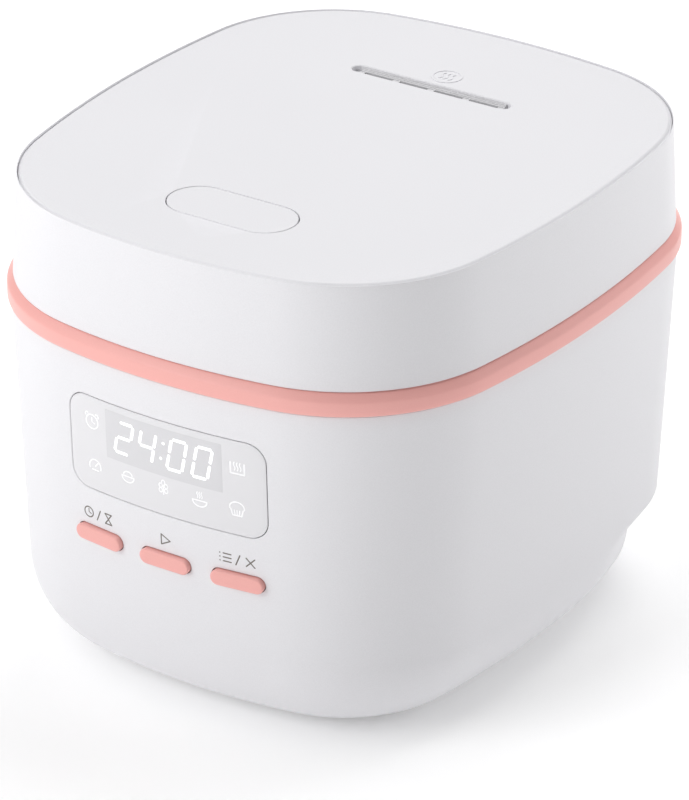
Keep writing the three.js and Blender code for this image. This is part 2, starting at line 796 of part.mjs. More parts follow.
// Button cap with an eased front edge, standing proud of the wall.
function throughWallBevelled(length, height) {
  const ease = 0.8;
  const shape = pill(length - 2 * ease, height - 2 * ease);
  const depth = BUTTON_PROUD + WALL + FLANGE_GAP + 0.3;
  const geometry = new THREE.ExtrudeGeometry(shape, {
    depth: depth - 2 * ease,
    bevelEnabled: true,
    bevelThickness: ease,
    bevelSize: ease,
    bevelSegments: 1,
    curveSegments: 4,
  });
  return geometry.rotateX(Math.PI / 2).translate(0, depth - ease - BUTTON_PROUD, 0);
}

// ---------------------------------------------------------------------------------------------
// Rear cover, hinge and mains inlet
// ---------------------------------------------------------------------------------------------

function rearCoverMiddleZ() {
  return (REAR_COVER_BOTTOM_Z + REAR_COVER_TOP_Z) / 2;
}

function rearCoverShape(grow) {
  const height = REAR_COVER_TOP_Z - REAR_COVER_BOTTOM_Z;
  return roundedRectangle(REAR_COVER_WIDTH + 2 * grow, height + 2 * grow, 10 + grow);
}

// Bracket that carries the hinge pin behind the band.
function hingeLug(x0, x1) {
  const shape = new THREE.Shape();
  const near = HINGE_Y - HINGE_KNUCKLE_RADIUS;
  shape.moveTo(122.4, 124);
  shape.lineTo(126, 124);
  shape.lineTo(HINGE_Y + HINGE_KNUCKLE_RADIUS, 143);
  shape.lineTo(HINGE_Y + HINGE_KNUCKLE_RADIUS, HINGE_Z);
  shape.absarc(HINGE_Y, HINGE_Z, HINGE_KNUCKLE_RADIUS, 0, Math.PI);
  shape.lineTo(near, 147.2);
  shape.lineTo(127.2, 143.8);
  shape.lineTo(122.4, 143);
  return extrudeAlongX(shape, x0, x1);
}

function rearCover() {
  const skin = common(
    wallSkin(0, WALL, REAR_COVER_BOTTOM_Z - 4, REAR_COVER_TOP_Z + 2),
    throughWall(rearCoverShape(0), 100, 140, 0, rearCoverMiddleZ()),
  );
  const withLugs = join(
    skin,
    hingeLug(-HINGE_LUG_OUTER, -HINGE_LUG_INNER),
    hingeLug(HINGE_LUG_INNER, HINGE_LUG_OUTER),
  );
  const pinHole = rod(HINGE_BORE_RADIUS, -30, 30, HINGE_Y, HINGE_Z);
  const inletHole = box(
    -INLET_WIDTH / 2 - PART_GAP, INLET_WIDTH / 2 + PART_GAP, 100, 140,
    INLET_Z - INLET_HEIGHT / 2 - PART_GAP, INLET_Z + INLET_HEIGHT / 2 + PART_GAP,
  );
  const slots = [];
  for (let row = 0; row < 4; row += 1) {
    const z = 84 + row * 7;
    slots.push(box(-22, 22, 100, 140, z - 1.3, z + 1.3));
  }
  return cut(withLugs, pinHole, inletHole, ...slots);
}

function hingePin() {
  return rod(HINGE_PIN_RADIUS, -HINGE_LUG_OUTER - 0.8, HINGE_LUG_OUTER + 0.8, HINGE_Y, HINGE_Z);
}

const SOCKET_WIDTH = 23;
const SOCKET_HEIGHT = 16;
const SOCKET_FLOOR_Y = 108;

function inletHousing() {
  const body = box(
    -INLET_WIDTH / 2, INLET_WIDTH / 2, INLET_BACK_Y, INLET_FACE_Y - 1,
    INLET_Z - INLET_HEIGHT / 2, INLET_Z + INLET_HEIGHT / 2,
  );
  const flange = throughWall(roundedRectangle(33, 26, 2.5), INLET_FACE_Y - 1.6, INLET_FACE_Y, 0, INLET_Z, 3);
  const socket = throughWall(
    roundedRectangle(SOCKET_WIDTH, SOCKET_HEIGHT, 3), SOCKET_FLOOR_Y, INLET_FACE_Y + 5, 0, INLET_Z, 3,
  );
  const pinHoles = inletPinPositions().map(([x, z]) => box(
    x - 1.3, x + 1.3, 90, SOCKET_FLOOR_Y + 2, z - 2.3, z + 2.3,
  ));
  return cut(join(body, flange), socket, ...pinHoles);
}

function inletPinPositions() {
  return [[-7, INLET_Z - 2.5], [0, INLET_Z + 2.5], [7, INLET_Z - 2.5]];
}

function inletPin([x, z]) {
  return box(x - 1, x + 1, INLET_BACK_Y - 6, INLET_FACE_Y - 5, z - 2, z + 2);
}

// ---------------------------------------------------------------------------------------------
// Lid pieces
// ---------------------------------------------------------------------------------------------

function lidInset(z) {
  return (LID_TOP_INSET * (z - LID_BOTTOM_Z)) / (TOP_Z - LID_BOTTOM_Z);
}

// Side wall of the lid, with the ledge for the top panel and the moulded hinge arm.
function lidSkirt() {
  const wall = stack([
    evenRing(LID_BOTTOM_Z, 0.4),
    evenRing(LID_BOTTOM_Z + 0.5, lidInset(LID_BOTTOM_Z)),
    evenRing(178, lidInset(178)),
    evenRing(TOP_Z - 1.6, lidInset(TOP_Z - 1.6)),
    evenRing(TOP_Z - 0.6, LID_TOP_INSET + 0.2),
    evenRing(TOP_Z - 0.4, PANEL_INSET - 0.4),
    evenRing(PANEL_BOTTOM_Z - PART_GAP, PANEL_INSET - 0.3),
    evenRing(PANEL_BOTTOM_Z - PART_GAP, PANEL_INSET + 4),
    evenRing(PANEL_BOTTOM_Z - 2.2, PANEL_INSET + 4),
    evenRing(PANEL_BOTTOM_Z - 4.2, lidInset(192) + WALL),
    evenRing(LID_BOTTOM_Z, WALL),
  ], true);
  const arm = new THREE.Shape();
  const near = HINGE_Y - HINGE_KNUCKLE_RADIUS;
  arm.moveTo(124.2, 178);
  arm.lineTo(124.2, 160);
  arm.lineTo(near, 158);
  arm.lineTo(near, HINGE_Z);
  arm.absarc(HINGE_Y, HINGE_Z, HINGE_KNUCKLE_RADIUS, Math.PI, Math.PI * 2);
  arm.lineTo(HINGE_Y + HINGE_KNUCKLE_RADIUS, 158);
  arm.lineTo(128.2, 178);
  const withArm = join(wall, extrudeAlongX(arm, -HINGE_ARM_HALF, HINGE_ARM_HALF));
  return cut(withArm, rod(HINGE_BORE_RADIUS, -30, 30, HINGE_Y, HINGE_Z));
}

function lidTopPanel() {
  const plate = stack([
    evenRing(PANEL_BOTTOM_Z, PANEL_INSET),
    evenRing(TOP_Z - 1.1, PANEL_INSET),
    evenRing(TOP_Z - 0.35, PANEL_INSET + 0.8),
    evenRing(TOP_Z, PANEL_INSET + 2.4),
  ], false);
  const releaseHole = slab(pill(RELEASE_LENGTH + 0.7, RELEASE_WIDTH + 0.7), 190, 205, 0, RELEASE_Y, 9);
  const ventHole = slab(pill(VENT_LENGTH, VENT_WIDTH), 190, 205, 0, VENT_Y, 6);
  return cut(plate, releaseHole, ventHole);
}

const VENT_TOP_Z = PANEL_BOTTOM_Z - PART_GAP;
const VENT_BOTTOM_Z = 184;

// Tray under the steam slot: the far wall steps down in ridges, the floor has four ports.
function ventInsert() {
  const body = slab(pill(VENT_LENGTH + 8, VENT_WIDTH + 12), VENT_BOTTOM_Z, VENT_TOP_Z, 0, VENT_Y, 4);
  const near = VENT_Y - VENT_WIDTH / 2;
  const far = VENT_Y + VENT_WIDTH / 2;
  const section = [[near, VENT_TOP_Z + 2], [far, VENT_TOP_Z + 2]];
  const ridges = 3;
  const drop = 2;
  for (let i = 0; i < ridges; i += 1) {
    const z = VENT_TOP_Z - 0.8 - i * drop;
    section.push([far - i * 0.7, z], [far - (i + 1) * 0.7, z]);
  }
  const floorZ = VENT_TOP_Z - 7.6;
  section.push([far - ridges * 0.7, floorZ], [near, floorZ]);
  const recess = common(
    sideProfile(section, -VENT_LENGTH, VENT_LENGTH),
    slab(pill(VENT_LENGTH, VENT_WIDTH), 180, 200, 0, VENT_Y, 6),
  );
  const ports = [-1.5, -0.5, 0.5, 1.5].map((place) => {
    const x = place * 14;
    return box(x - 6, x + 6, near + 0.4, near + 3.2, 170, floorZ + 1);
  });
  return cut(body, recess, ...ports);
}

function steamDuct() {
  const outer = slab(pill(DUCT_LENGTH, DUCT_WIDTH), PLATE_TOP_Z + PART_GAP, VENT_BOTTOM_Z - PART_GAP, 0, VENT_Y, 5);
  const bore = slab(
    pill(DUCT_LENGTH - 2 * DUCT_WALL, DUCT_WIDTH - 2 * DUCT_WALL), 150, 190, 0, VENT_Y, 5,
  );
  return cut(outer, bore);
}

const SPRING_POST_X = 22;
const SPRING_POST_Z = 170;

// Lower frame of the lid, with the rails of the latch slider and the seats of its springs.
function lidInnerFrame() {
  const ring = stack([
    evenRing(FRAME_BOTTOM_Z, 5.6),
    evenRing(FRAME_TOP_Z, 5.6),
  ], false);
  const mouth = post(FRAME_BORE_RADIUS, 150, 165, 0, 0, 40);
  const rails = [-1, 1].map((side) => {
    const [inner, outer] = [side * 15.5, side * 17.5];
    return box(Math.min(inner, outer), Math.max(inner, outer), -112, -78, FRAME_TOP_Z - 1, 168);
  });
  const deck = box(-28, 28, -92, -50, FRAME_BOTTOM_Z, FRAME_TOP_Z);
  const posts = [-SPRING_POST_X, SPRING_POST_X].map((x) => post(
    5, FRAME_TOP_Z - 1, SPRING_POST_Z, x, RELEASE_Y, 12,
  ));
  const stop = box(-8, 8, -54, -51.5, FRAME_TOP_Z - 1, 169);
  const hookSlot = box(-13, 13, -114, -102, 150, 165);
  return cut(join(cut(ring, mouth), deck, ...rails, ...posts, stop), hookSlot);
}

function innerLidPlate() {
  const disc = turned([
    [0, PLATE_BOTTOM_Z],
    [PLATE_RADIUS - 6, PLATE_BOTTOM_Z],
    [PLATE_RADIUS - 5, PLATE_BOTTOM_Z - 0.8],
    [PLATE_RADIUS, PLATE_BOTTOM_Z - 0.8],
    [PLATE_RADIUS, PLATE_TOP_Z],
    [0, PLATE_TOP_Z],
  ], 44);
  const holes = [post(6, 150, 160, 0, VENT_Y, 16)];
  for (let i = 0; i < 3; i += 1) {
    const angle = THREE.MathUtils.degToRad(210 + i * 60);
    holes.push(post(2, 150, 160, 40 * Math.cos(angle), 40 * Math.sin(angle), 10));
  }
  return cut(disc, ...holes);
}

// Valve cap that hangs below the inner lid plate, with a neck through it.
function steamValve() {
  return turned([
    [2.4, 152.8],
    [11.5, 152.8],
    [12.5, 153.8],
    [12.5, PLATE_BOTTOM_Z - PART_GAP],
    [5.6, PLATE_BOTTOM_Z - PART_GAP],
    [5.6, 161],
    [2.4, 161],
    [2.4, 152.8],
  ], 20, 0, VENT_Y);
}

function lidGasket() {
  return turned([
    [PLATE_RADIUS + 0.3, PLATE_TOP_Z],
    [90.6, PLATE_TOP_Z],
    [90.6, 155],
    [88.8, 152.4],
    [86.4, 152.4],
    [86.4, 154.2],
    [PLATE_RADIUS + 0.3, 154.8],
    [PLATE_RADIUS + 0.3, PLATE_TOP_Z],
  ], 44);
}

const RAMP_FOOT_Y = -78;
const RAMP_RISE = 8;

// Pressing the button drives its wedge down the slider's ramp, which draws the hook back.
function releaseButton() {
  const cap = slab(pill(RELEASE_LENGTH, RELEASE_WIDTH), 195, RELEASE_TOP_Z, 0, RELEASE_Y, 9);
  const flange = slab(pill(RELEASE_LENGTH + 4, RELEASE_WIDTH + 4), 194.4, PANEL_BOTTOM_Z - PART_GAP, 0, RELEASE_Y, 6);
  const slope = PART_GAP * Math.SQRT2;
  const legZ = SLIDER_TOP_Z + LATCH_TRAVEL + PART_GAP;
  const rampStart = RAMP_FOOT_Y + (legZ - SLIDER_TOP_Z) - slope;
  const rampEnd = RAMP_FOOT_Y + RAMP_RISE - slope;
  const leg = sideProfile([
    [-82, 195.5],
    [-82, legZ],
    [rampStart, legZ],
    [rampEnd, SLIDER_TOP_Z + RAMP_RISE],
    [rampEnd, 195.5],
  ], -5, 5);
  return join(cap, flange, leg);
}

function latchSlider() {
  const bar = box(-15, 15, -111, -66, SLIDER_BOTTOM_Z, SLIDER_TOP_Z);
  const ramp = sideProfile([
    [RAMP_FOOT_Y, SLIDER_TOP_Z - 1],
    [RAMP_FOOT_Y, SLIDER_TOP_Z],
    [RAMP_FOOT_Y + RAMP_RISE, SLIDER_TOP_Z + RAMP_RISE],
    [RAMP_FOOT_Y + RAMP_RISE + 3, SLIDER_TOP_Z + RAMP_RISE],
    [RAMP_FOOT_Y + RAMP_RISE + 3, SLIDER_TOP_Z - 1],
  ], -5, 5);
  const hook = sideProfile([
    [-111, SLIDER_BOTTOM_Z + 1],
    [-111, 152.8],
    [-112.7, 152.8],
    [-110.5, 148.8],
    [-106, 148.8],
    [-106, SLIDER_BOTTOM_Z + 1],
  ], -12, 12);
  return join(bar, ramp, hook);
}

function releaseSpring(x) {
  return coilSpring(SPRING_POST_Z + PART_GAP + 0.5, 194.4 - PART_GAP - 0.5, 4, 0.5, 6)
    .translate(x, RELEASE_Y, 0);
}

function latchSpring() {
  const length = 66 - 54 - 2 * (PART_GAP + 0.4);
  return coilSpring(0, length, 2.3, 0.4, 6)
    .rotateX(-Math.PI / 2)
    .translate(0, -66 + PART_GAP + 0.4, (SLIDER_BOTTOM_Z + SLIDER_TOP_Z) / 2);
}

// ---------------------------------------------------------------------------------------------
// Assembly
// ---------------------------------------------------------------------------------------------

const cooker = new THREE.Group();
cooker.position.set(0, CENTRE_SHIFT_Y, 0);

function place(name, geometry, makeMaterial) {
  const mesh = new THREE.Mesh(solid(geometry), makeMaterial());
  mesh.name = name;
  cooker.add(mesh);
}

place('body_shell', bodyShell(), WHITE_SHELL);
place('deco_band', decoBand(), PINK);
place('collar_ring', collarRing(), WHITE_INNER);
place('pot_well', potWell(), SHEET_STEEL);
place('inner_pot', innerPot(), DARK_COATING);
place('heating_plate', heatingPlate(), ALUMINIUM);
place('sensor_cap', sensorCap(), ALUMINIUM);
place('sensor_bracket', sensorBracket(), SHEET_STEEL);
place('sensor_spring', sensorSpring(), BRIGHT_STEEL);
place('base_plate', basePlate(), WHITE_INNER);
['front_left', 'front_right', 'rear_left', 'rear_right'].forEach((corner, i) => {
  place(`foot_${corner}`, foot(footPositions()[i]), RUBBER);
  const [x, y] = bossPositions()[i];
  place(`base_screw_${corner}`, screw(x, y, BASE_BOTTOM_Z), BRIGHT_STEEL);
});
place('power_board', powerBoard(), BOARD_GREEN);
place('control_board', controlBoard(), BOARD_GREEN);
place('display_module', displayModule(), DISPLAY_GREY);
place('display_window', displayWindow(), WINDOW_GLOSS);
['time', 'start', 'menu'].forEach((label, i) => {
  place(`${label}_button`, frontButton(i - 1), PINK);
  place(`${label}_switch`, tactSwitch(i - 1), BLACK_PLASTIC);
});
place('rear_cover', rearCover(), WHITE_INNER);
place('hinge_pin', hingePin(), BRIGHT_STEEL);
place('inlet_housing', inletHousing(), BLACK_PLASTIC);
['line', 'earth', 'neutral'].forEach((label, i) => {
  place(`inlet_pin_${label}`, inletPin(inletPinPositions()[i]), BRASS);
});
place('lid_skirt', lidSkirt(), WHITE_SHELL);
place('lid_top_panel', lidTopPanel(), WHITE_SHELL);
place('vent_insert', ventInsert(), WHITE_INNER);
place('steam_duct', steamDuct(), WHITE_INNER);
place('lid_inner_frame', lidInnerFrame(), WHITE_INNER);
place('inner_lid_plate', innerLidPlate(), ALUMINIUM);
place('steam_valve', steamValve(), SILICONE);
place('lid_gasket', lidGasket(), SILICONE);
place('release_button', releaseButton(), WHITE_SHELL);
place('release_spring_left', releaseSpring(-SPRING_POST_X), BRIGHT_STEEL);
place('release_spring_right', releaseSpring(SPRING_POST_X), BRIGHT_STEEL);
place('latch_slider', latchSlider(), WHITE_INNER);
place('latch_spring', latchSpring(), BRIGHT_STEEL);

export default cooker;
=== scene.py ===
"""Rice cooker: the looks of a compact countertop cooker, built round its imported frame."""

import json
import logging
import math
from collections.abc import Callable, Sequence
from dataclasses import dataclass, field
from enum import Enum

import bmesh
import bpy
from mathutils import Matrix, Vector


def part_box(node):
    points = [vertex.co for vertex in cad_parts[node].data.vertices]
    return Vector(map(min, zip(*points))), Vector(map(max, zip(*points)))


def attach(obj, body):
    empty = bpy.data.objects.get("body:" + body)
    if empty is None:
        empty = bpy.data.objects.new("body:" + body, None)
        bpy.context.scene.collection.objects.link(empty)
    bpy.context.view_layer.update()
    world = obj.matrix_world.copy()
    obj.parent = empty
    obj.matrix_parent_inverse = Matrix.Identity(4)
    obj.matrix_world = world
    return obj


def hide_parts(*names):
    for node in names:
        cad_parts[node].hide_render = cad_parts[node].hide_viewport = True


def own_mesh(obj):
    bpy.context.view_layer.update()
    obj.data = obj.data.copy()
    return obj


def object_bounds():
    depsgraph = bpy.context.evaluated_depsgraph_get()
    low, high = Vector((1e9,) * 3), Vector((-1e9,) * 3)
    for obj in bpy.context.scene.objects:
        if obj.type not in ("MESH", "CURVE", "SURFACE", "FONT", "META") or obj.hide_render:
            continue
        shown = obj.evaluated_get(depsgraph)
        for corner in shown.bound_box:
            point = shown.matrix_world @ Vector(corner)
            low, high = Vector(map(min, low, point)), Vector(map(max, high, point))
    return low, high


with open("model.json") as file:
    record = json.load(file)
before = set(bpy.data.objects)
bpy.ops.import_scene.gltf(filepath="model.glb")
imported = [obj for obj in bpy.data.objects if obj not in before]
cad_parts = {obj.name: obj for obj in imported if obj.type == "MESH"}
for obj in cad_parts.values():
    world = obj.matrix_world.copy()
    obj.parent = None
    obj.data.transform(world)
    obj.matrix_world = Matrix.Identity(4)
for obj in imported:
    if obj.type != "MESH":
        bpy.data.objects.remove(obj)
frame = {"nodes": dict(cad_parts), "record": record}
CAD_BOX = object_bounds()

LOG = logging.getLogger("rice_cooker")
MM = 0.001
EASE_ANGLE = math.radians(40)
SMOOTH_ANGLE = math.radians(34)

Point = tuple[float, float]
Place = Callable[[float, float, float], Vector]


# --------------------------------------------------------------------------------------------
# Shapes
# --------------------------------------------------------------------------------------------


class Shape:
    """Closed skin made of rings of points, in metres in the row frame."""

    def __init__(self) -> None:
        """Starts an empty skin."""
        self.points: list[Vector] = []
        self.faces: list[list[int]] = []

    def ring(self, points: Sequence[Vector]) -> list[int]:
        """Adds a ring of points.

        Args:
            points: The points, in order round the ring.

        Returns:
            The numbers of the new points.
        """
        first = len(self.points)
        self.points.extend(points)
        return list(range(first, len(self.points)))

    def bridge(self, low: list[int], high: list[int]) -> None:
        """Joins two closed rings of the same length with four-sided faces.

        Args:
            low: The first ring.
            high: The second ring.
        """
        count = len(low)
        for i in range(count):
            j = (i + 1) % count
            self.faces.append([low[i], low[j], high[j], high[i]])

    def loft(self, rings: Sequence[Sequence[Vector]], closed: bool = False) -> "Shape":
        """Covers a stack of rings.

        Args:
            rings: The rings, in order along the skin.
            closed: True if the last ring joins the first; otherwise both ends get a flat cap.

        Returns:
            This shape.
        """
        numbers = [self.ring(points) for points in rings]
        for low, high in zip(numbers, numbers[1:]):
            self.bridge(low, high)
        if closed:
            self.bridge(numbers[-1], numbers[0])
        else:
            self.faces.append(numbers[0][::-1])
            self.faces.append(numbers[-1])
        return self

    def volume(self) -> float:
        """Gives the signed volume, which is negative when the faces point inwards.

        Returns:
            The value.
        """
        total = 0.0
        for face in self.faces:
            a = self.points[face[0]]
            for j in range(1, len(face) - 1):
                total += a.dot(self.points[face[j]].cross(self.points[face[j + 1]])) / 6
        return total

    def make(self, name: str, sharp: float = 32.0) -> bpy.types.Object:
        """Makes the object.

        Args:
            name: The piece's name.
            sharp: The angle in degrees above which an edge stays crisp.

        Returns:
            The new object, with its faces pointing out.
        """
        if self.volume() < 0:
            self.faces = [face[::-1] for face in self.faces]
        mesh = bpy.data.meshes.new(name)
        mesh.from_pydata([tuple(p) for p in self.points], [], self.faces)
        mesh.validate()
        piece = bpy.data.objects.new(name, mesh)
        bpy.context.scene.collection.objects.link(piece)
        shade(piece, sharp)
        return piece


def shade(piece: bpy.types.Object, sharp: float) -> None:
    """Shades a piece smooth and keeps its steep edges crisp.

    Args:
        piece: The object.
        sharp: The angle in degrees above which an edge is crisp.
    """
    skin = bmesh.new()
    skin.from_mesh(piece.data)
    for face in skin.faces:
        face.smooth = True
    for edge in skin.edges:
        edge.smooth = edge.is_manifold and edge.calc_face_angle(0.0) < math.radians(sharp)
    skin.to_mesh(piece.data)
    skin.free()


def carve(
    piece: bpy.types.Object, tools: Sequence[bpy.types.Object], sharp: float = 32.0
) -> bpy.types.Object:
    """Cuts the tools out of a piece and throws them away.

    Args:
        piece: The object to cut.
        tools: Closed objects that mark the holes.
        sharp: The angle in degrees above which an edge is crisp.

    Returns:
        The piece.
    """
    for tool in tools:
        cut = piece.modifiers.new("cut", "BOOLEAN")
        cut.operation = "DIFFERENCE"
        cut.solver = "EXACT"
        cut.object = tool
    graph = bpy.context.evaluated_depsgraph_get()
    mesh = bpy.data.meshes.new_from_object(piece.evaluated_get(graph))
    piece.modifiers.clear()
    piece.data = mesh
    for tool in tools:
        bpy.data.objects.remove(tool)
    shade(piece, sharp)
    return piece


def soften(piece: bpy.types.Object, width: float, segments: int = 2) -> bpy.types.Object:
    """Eases the crisp edges of a piece.

    Args:
        piece: The object.
        width: Width of the eased edge, in millimetres.
        segments: Number of steps across the edge.

    Returns:
        The piece.
    """
    weld = piece.modifiers.new("weld", "WELD")
    weld.merge_threshold = 1e-6
    bevel = piece.modifiers.new("ease", "BEVEL")
    bevel.width = width * MM
    bevel.segments = segments
    bevel.limit_method = "ANGLE"
    bevel.angle_limit = EASE_ANGLE
    smooth = piece.modifiers.new("smooth", "NODES")
    smooth.node_group = smooth_shading()
    return piece


def smooth_shading() -> bpy.types.NodeTree:
    """Gives the node group that shades a mesh smooth up to an angle, made on first use.

    Returns:
        The node group.
    """
    name = "smooth shading"
    if name in bpy.data.node_groups:
        return bpy.data.node_groups[name]
    tree = bpy.data.node_groups.new(name, "GeometryNodeTree")
    tree.interface.new_socket("Geometry", in_out="INPUT", socket_type="NodeSocketGeometry")
    tree.interface.new_socket("Geometry", in_out="OUTPUT", socket_type="NodeSocketGeometry")
    start = tree.nodes.new("NodeGroupInput")
    faces = tree.nodes.new("GeometryNodeSetShadeSmooth")
    faces.domain = "FACE"
    edges = tree.nodes.new("GeometryNodeSetShadeSmooth")
    edges.domain = "EDGE"
    angle = tree.nodes.new("GeometryNodeInputMeshEdgeAngle")
    below = tree.nodes.new("FunctionNodeCompare")
    below.operation = "LESS_THAN"
    below.inputs["B"].default_value = SMOOTH_ANGLE
    end = tree.nodes.new("NodeGroupOutput")
    tree.links.new(start.outputs[0], faces.inputs["Geometry"])
    tree.links.new(faces.outputs[0], edges.inputs["Geometry"])
    tree.links.new(angle.outputs["Unsigned Angle"], below.inputs["A"])
    tree.links.new(below.outputs[0], edges.inputs["Shade Smooth"])
    tree.links.new(edges.outputs[0], end.inputs[0])
    return tree


def rounded_outline(
    width: float, height: float, radius: float, flats: Point | None = None, steps: int = 12
) -> list[Point]:
    """Gives a rectangle with round corners, anticlockwise about the origin.

    Args:
        width: Full width.
        height: Full height.
        radius: Corner radius.
        flats: Lengths along and up that set how many points the straight sides get; the sides'
            own lengths if left out.
        steps: Points on each corner, less one.

    Returns:
        The points.
    """
    along, up = flats or (width - 2 * radius, height - 2 * radius)
    counts = [max(1, math.ceil(up / 2.5)), max(1, math.ceil(along / 2.5))]
    points = []
    corners = [(1, -1, -90), (1, 1, 0), (-1, 1, 90), (-1, -1, 180)]
    for number, (sx, sy, start) in enumerate(corners):
        cx, cy = sx * (width / 2 - radius), sy * (height / 2 - radius)
        for i in range(steps + 1):
            angle = math.radians(start + 90 * i / steps)
            points.append((cx + radius * math.cos(angle), cy + radius * math.sin(angle)))
        nx, ny, turn = corners[(number + 1) % 4]
        angle = math.radians(turn)
        end = (nx * (width / 2 - radius) + radius * math.cos(angle),
               ny * (height / 2 - radius) + radius * math.sin(angle))
        begin = points[-1]
        count = counts[number % 2]
        for i in range(1, count):
            share = i / count
            points.append((begin[0] + (end[0] - begin[0]) * share,
                           begin[1] + (end[1] - begin[1]) * share))
    return points


@dataclass(frozen=True)
class Pad:
    """Rounded plate with an eased front edge, laid on any surface. Sizes are in millimetres."""

    width: float
    height: float
    radius: float
    back: float
    front: float
    ease: float
    crown: float = 0.0
    rounds: int = 14

    def outline(self, inset: float) -> list[Point]:
        """Gives the outline drawn in by an inset.

        Args:
            inset: How far it is drawn in, in millimetres.

        Returns:
            The outline's points.
        """
        radius = max(self.radius - inset, 0.05)
        flats = (self.width - 2 * self.radius, self.height - 2 * self.radius)
        return rounded_outline(self.width - 2 * inset, self.height - 2 * inset, radius, flats)

    def make(self, name: str, place: Place) -> bpy.types.Object:
        """Makes the plate.

        Args:
            name: The piece's name.
            place: Turns (across, up, proud) in millimetres into a point.

        Returns:
            The new object.
        """
        rows: list[tuple[float, float, float]] = []
        shares = [i / self.rounds for i in range(1, self.rounds + 1)]
        rows.extend((0.3, share, self.back) for share in shares)
        steps = 5
        for i in range(steps + 1):
            angle = math.pi / 2 * i / steps
            inset = self.ease * (1 - math.cos(angle))
            rows.append((inset, 1.0, self.front - self.ease * (1 - math.sin(angle))))
        for share in shares[-2::-1]:
            rows.append((self.ease, share, self.front + self.crown * (1 - share * share)))
        rings = [
            [place(u * share, v * share, proud) for u, v in self.outline(inset)]
            for inset, share, proud in rows
        ]
        return Shape().loft(rings).make(name)


def turned(
    name: str,
    profile: Sequence[Point],
    middle: Point = (0.0, 0.0),
    segments: int = 128,
    loop: bool = True,
) -> bpy.types.Object:
    """Makes a piece turned about an upright axis.

    Args:
        name: The piece's name.
        profile: Pairs of radius and height in millimetres; a loop round a hollow, or else a
            line whose two ends are close to the axis.
        middle: The axis in plan, in millimetres in the row frame.
        segments: Number of steps round the axis.
        loop: True if the profile closes on itself.

    Returns:
        The new object.
    """
    rings = []
    for radius, height in profile:
        ring = []
        for i in range(segments):
            angle = 2 * math.pi * i / segments
            x = middle[0] + radius * math.cos(angle)
            y = middle[1] + radius * math.sin(angle)
            ring.append(Vector((x, y, height)) * MM)
        rings.append(ring)
    return Shape().loft(rings, closed=loop).make(name)


def block(name: str, low: Sequence[float], high: Sequence[float]) -> bpy.types.Object:
    """Makes a plain cutting block between two corners given in millimetres.

    Args:
        name: The tool's name.
        low: The lower corner.
        high: The upper corner.

    Returns:
        The new object.
    """
    rings = [
        [Vector((x, y, z)) * MM for x, y in
         ((low[0], low[1]), (high[0], low[1]), (high[0], high[1]), (low[0], high[1]))]
        for z in (low[2], high[2])
    ]
    return Shape().loft(rings).make(name)


def across_piece(name: str, outline: Sequence[Point], x0: float, x1: float) -> bpy.types.Object:
    """Makes a piece of one side outline pushed along X.

    Args:
        name: The piece's name.
        outline: Pairs of y and z in millimetres in the row frame.
        x0: Where it starts along X.
        x1: Where it ends along X.

    Returns:
        The new object.
    """
    rings = [[Vector((x, y, z)) * MM for y, z in outline] for x in (x0, x1)]
    return Shape().loft(rings).make(name)


# --------------------------------------------------------------------------------------------
# Outline and walls
# --------------------------------------------------------------------------------------------


@dataclass(frozen=True)
class Arc:
    """One arc of the plan outline, in millimetres."""

    x: float
    y: float
    radius: float

    def bearing(self, other: "Arc") -> float:
        """Returns the direction from this centre to another arc's centre."""
        return math.atan2(other.y - self.y, other.x - self.x)


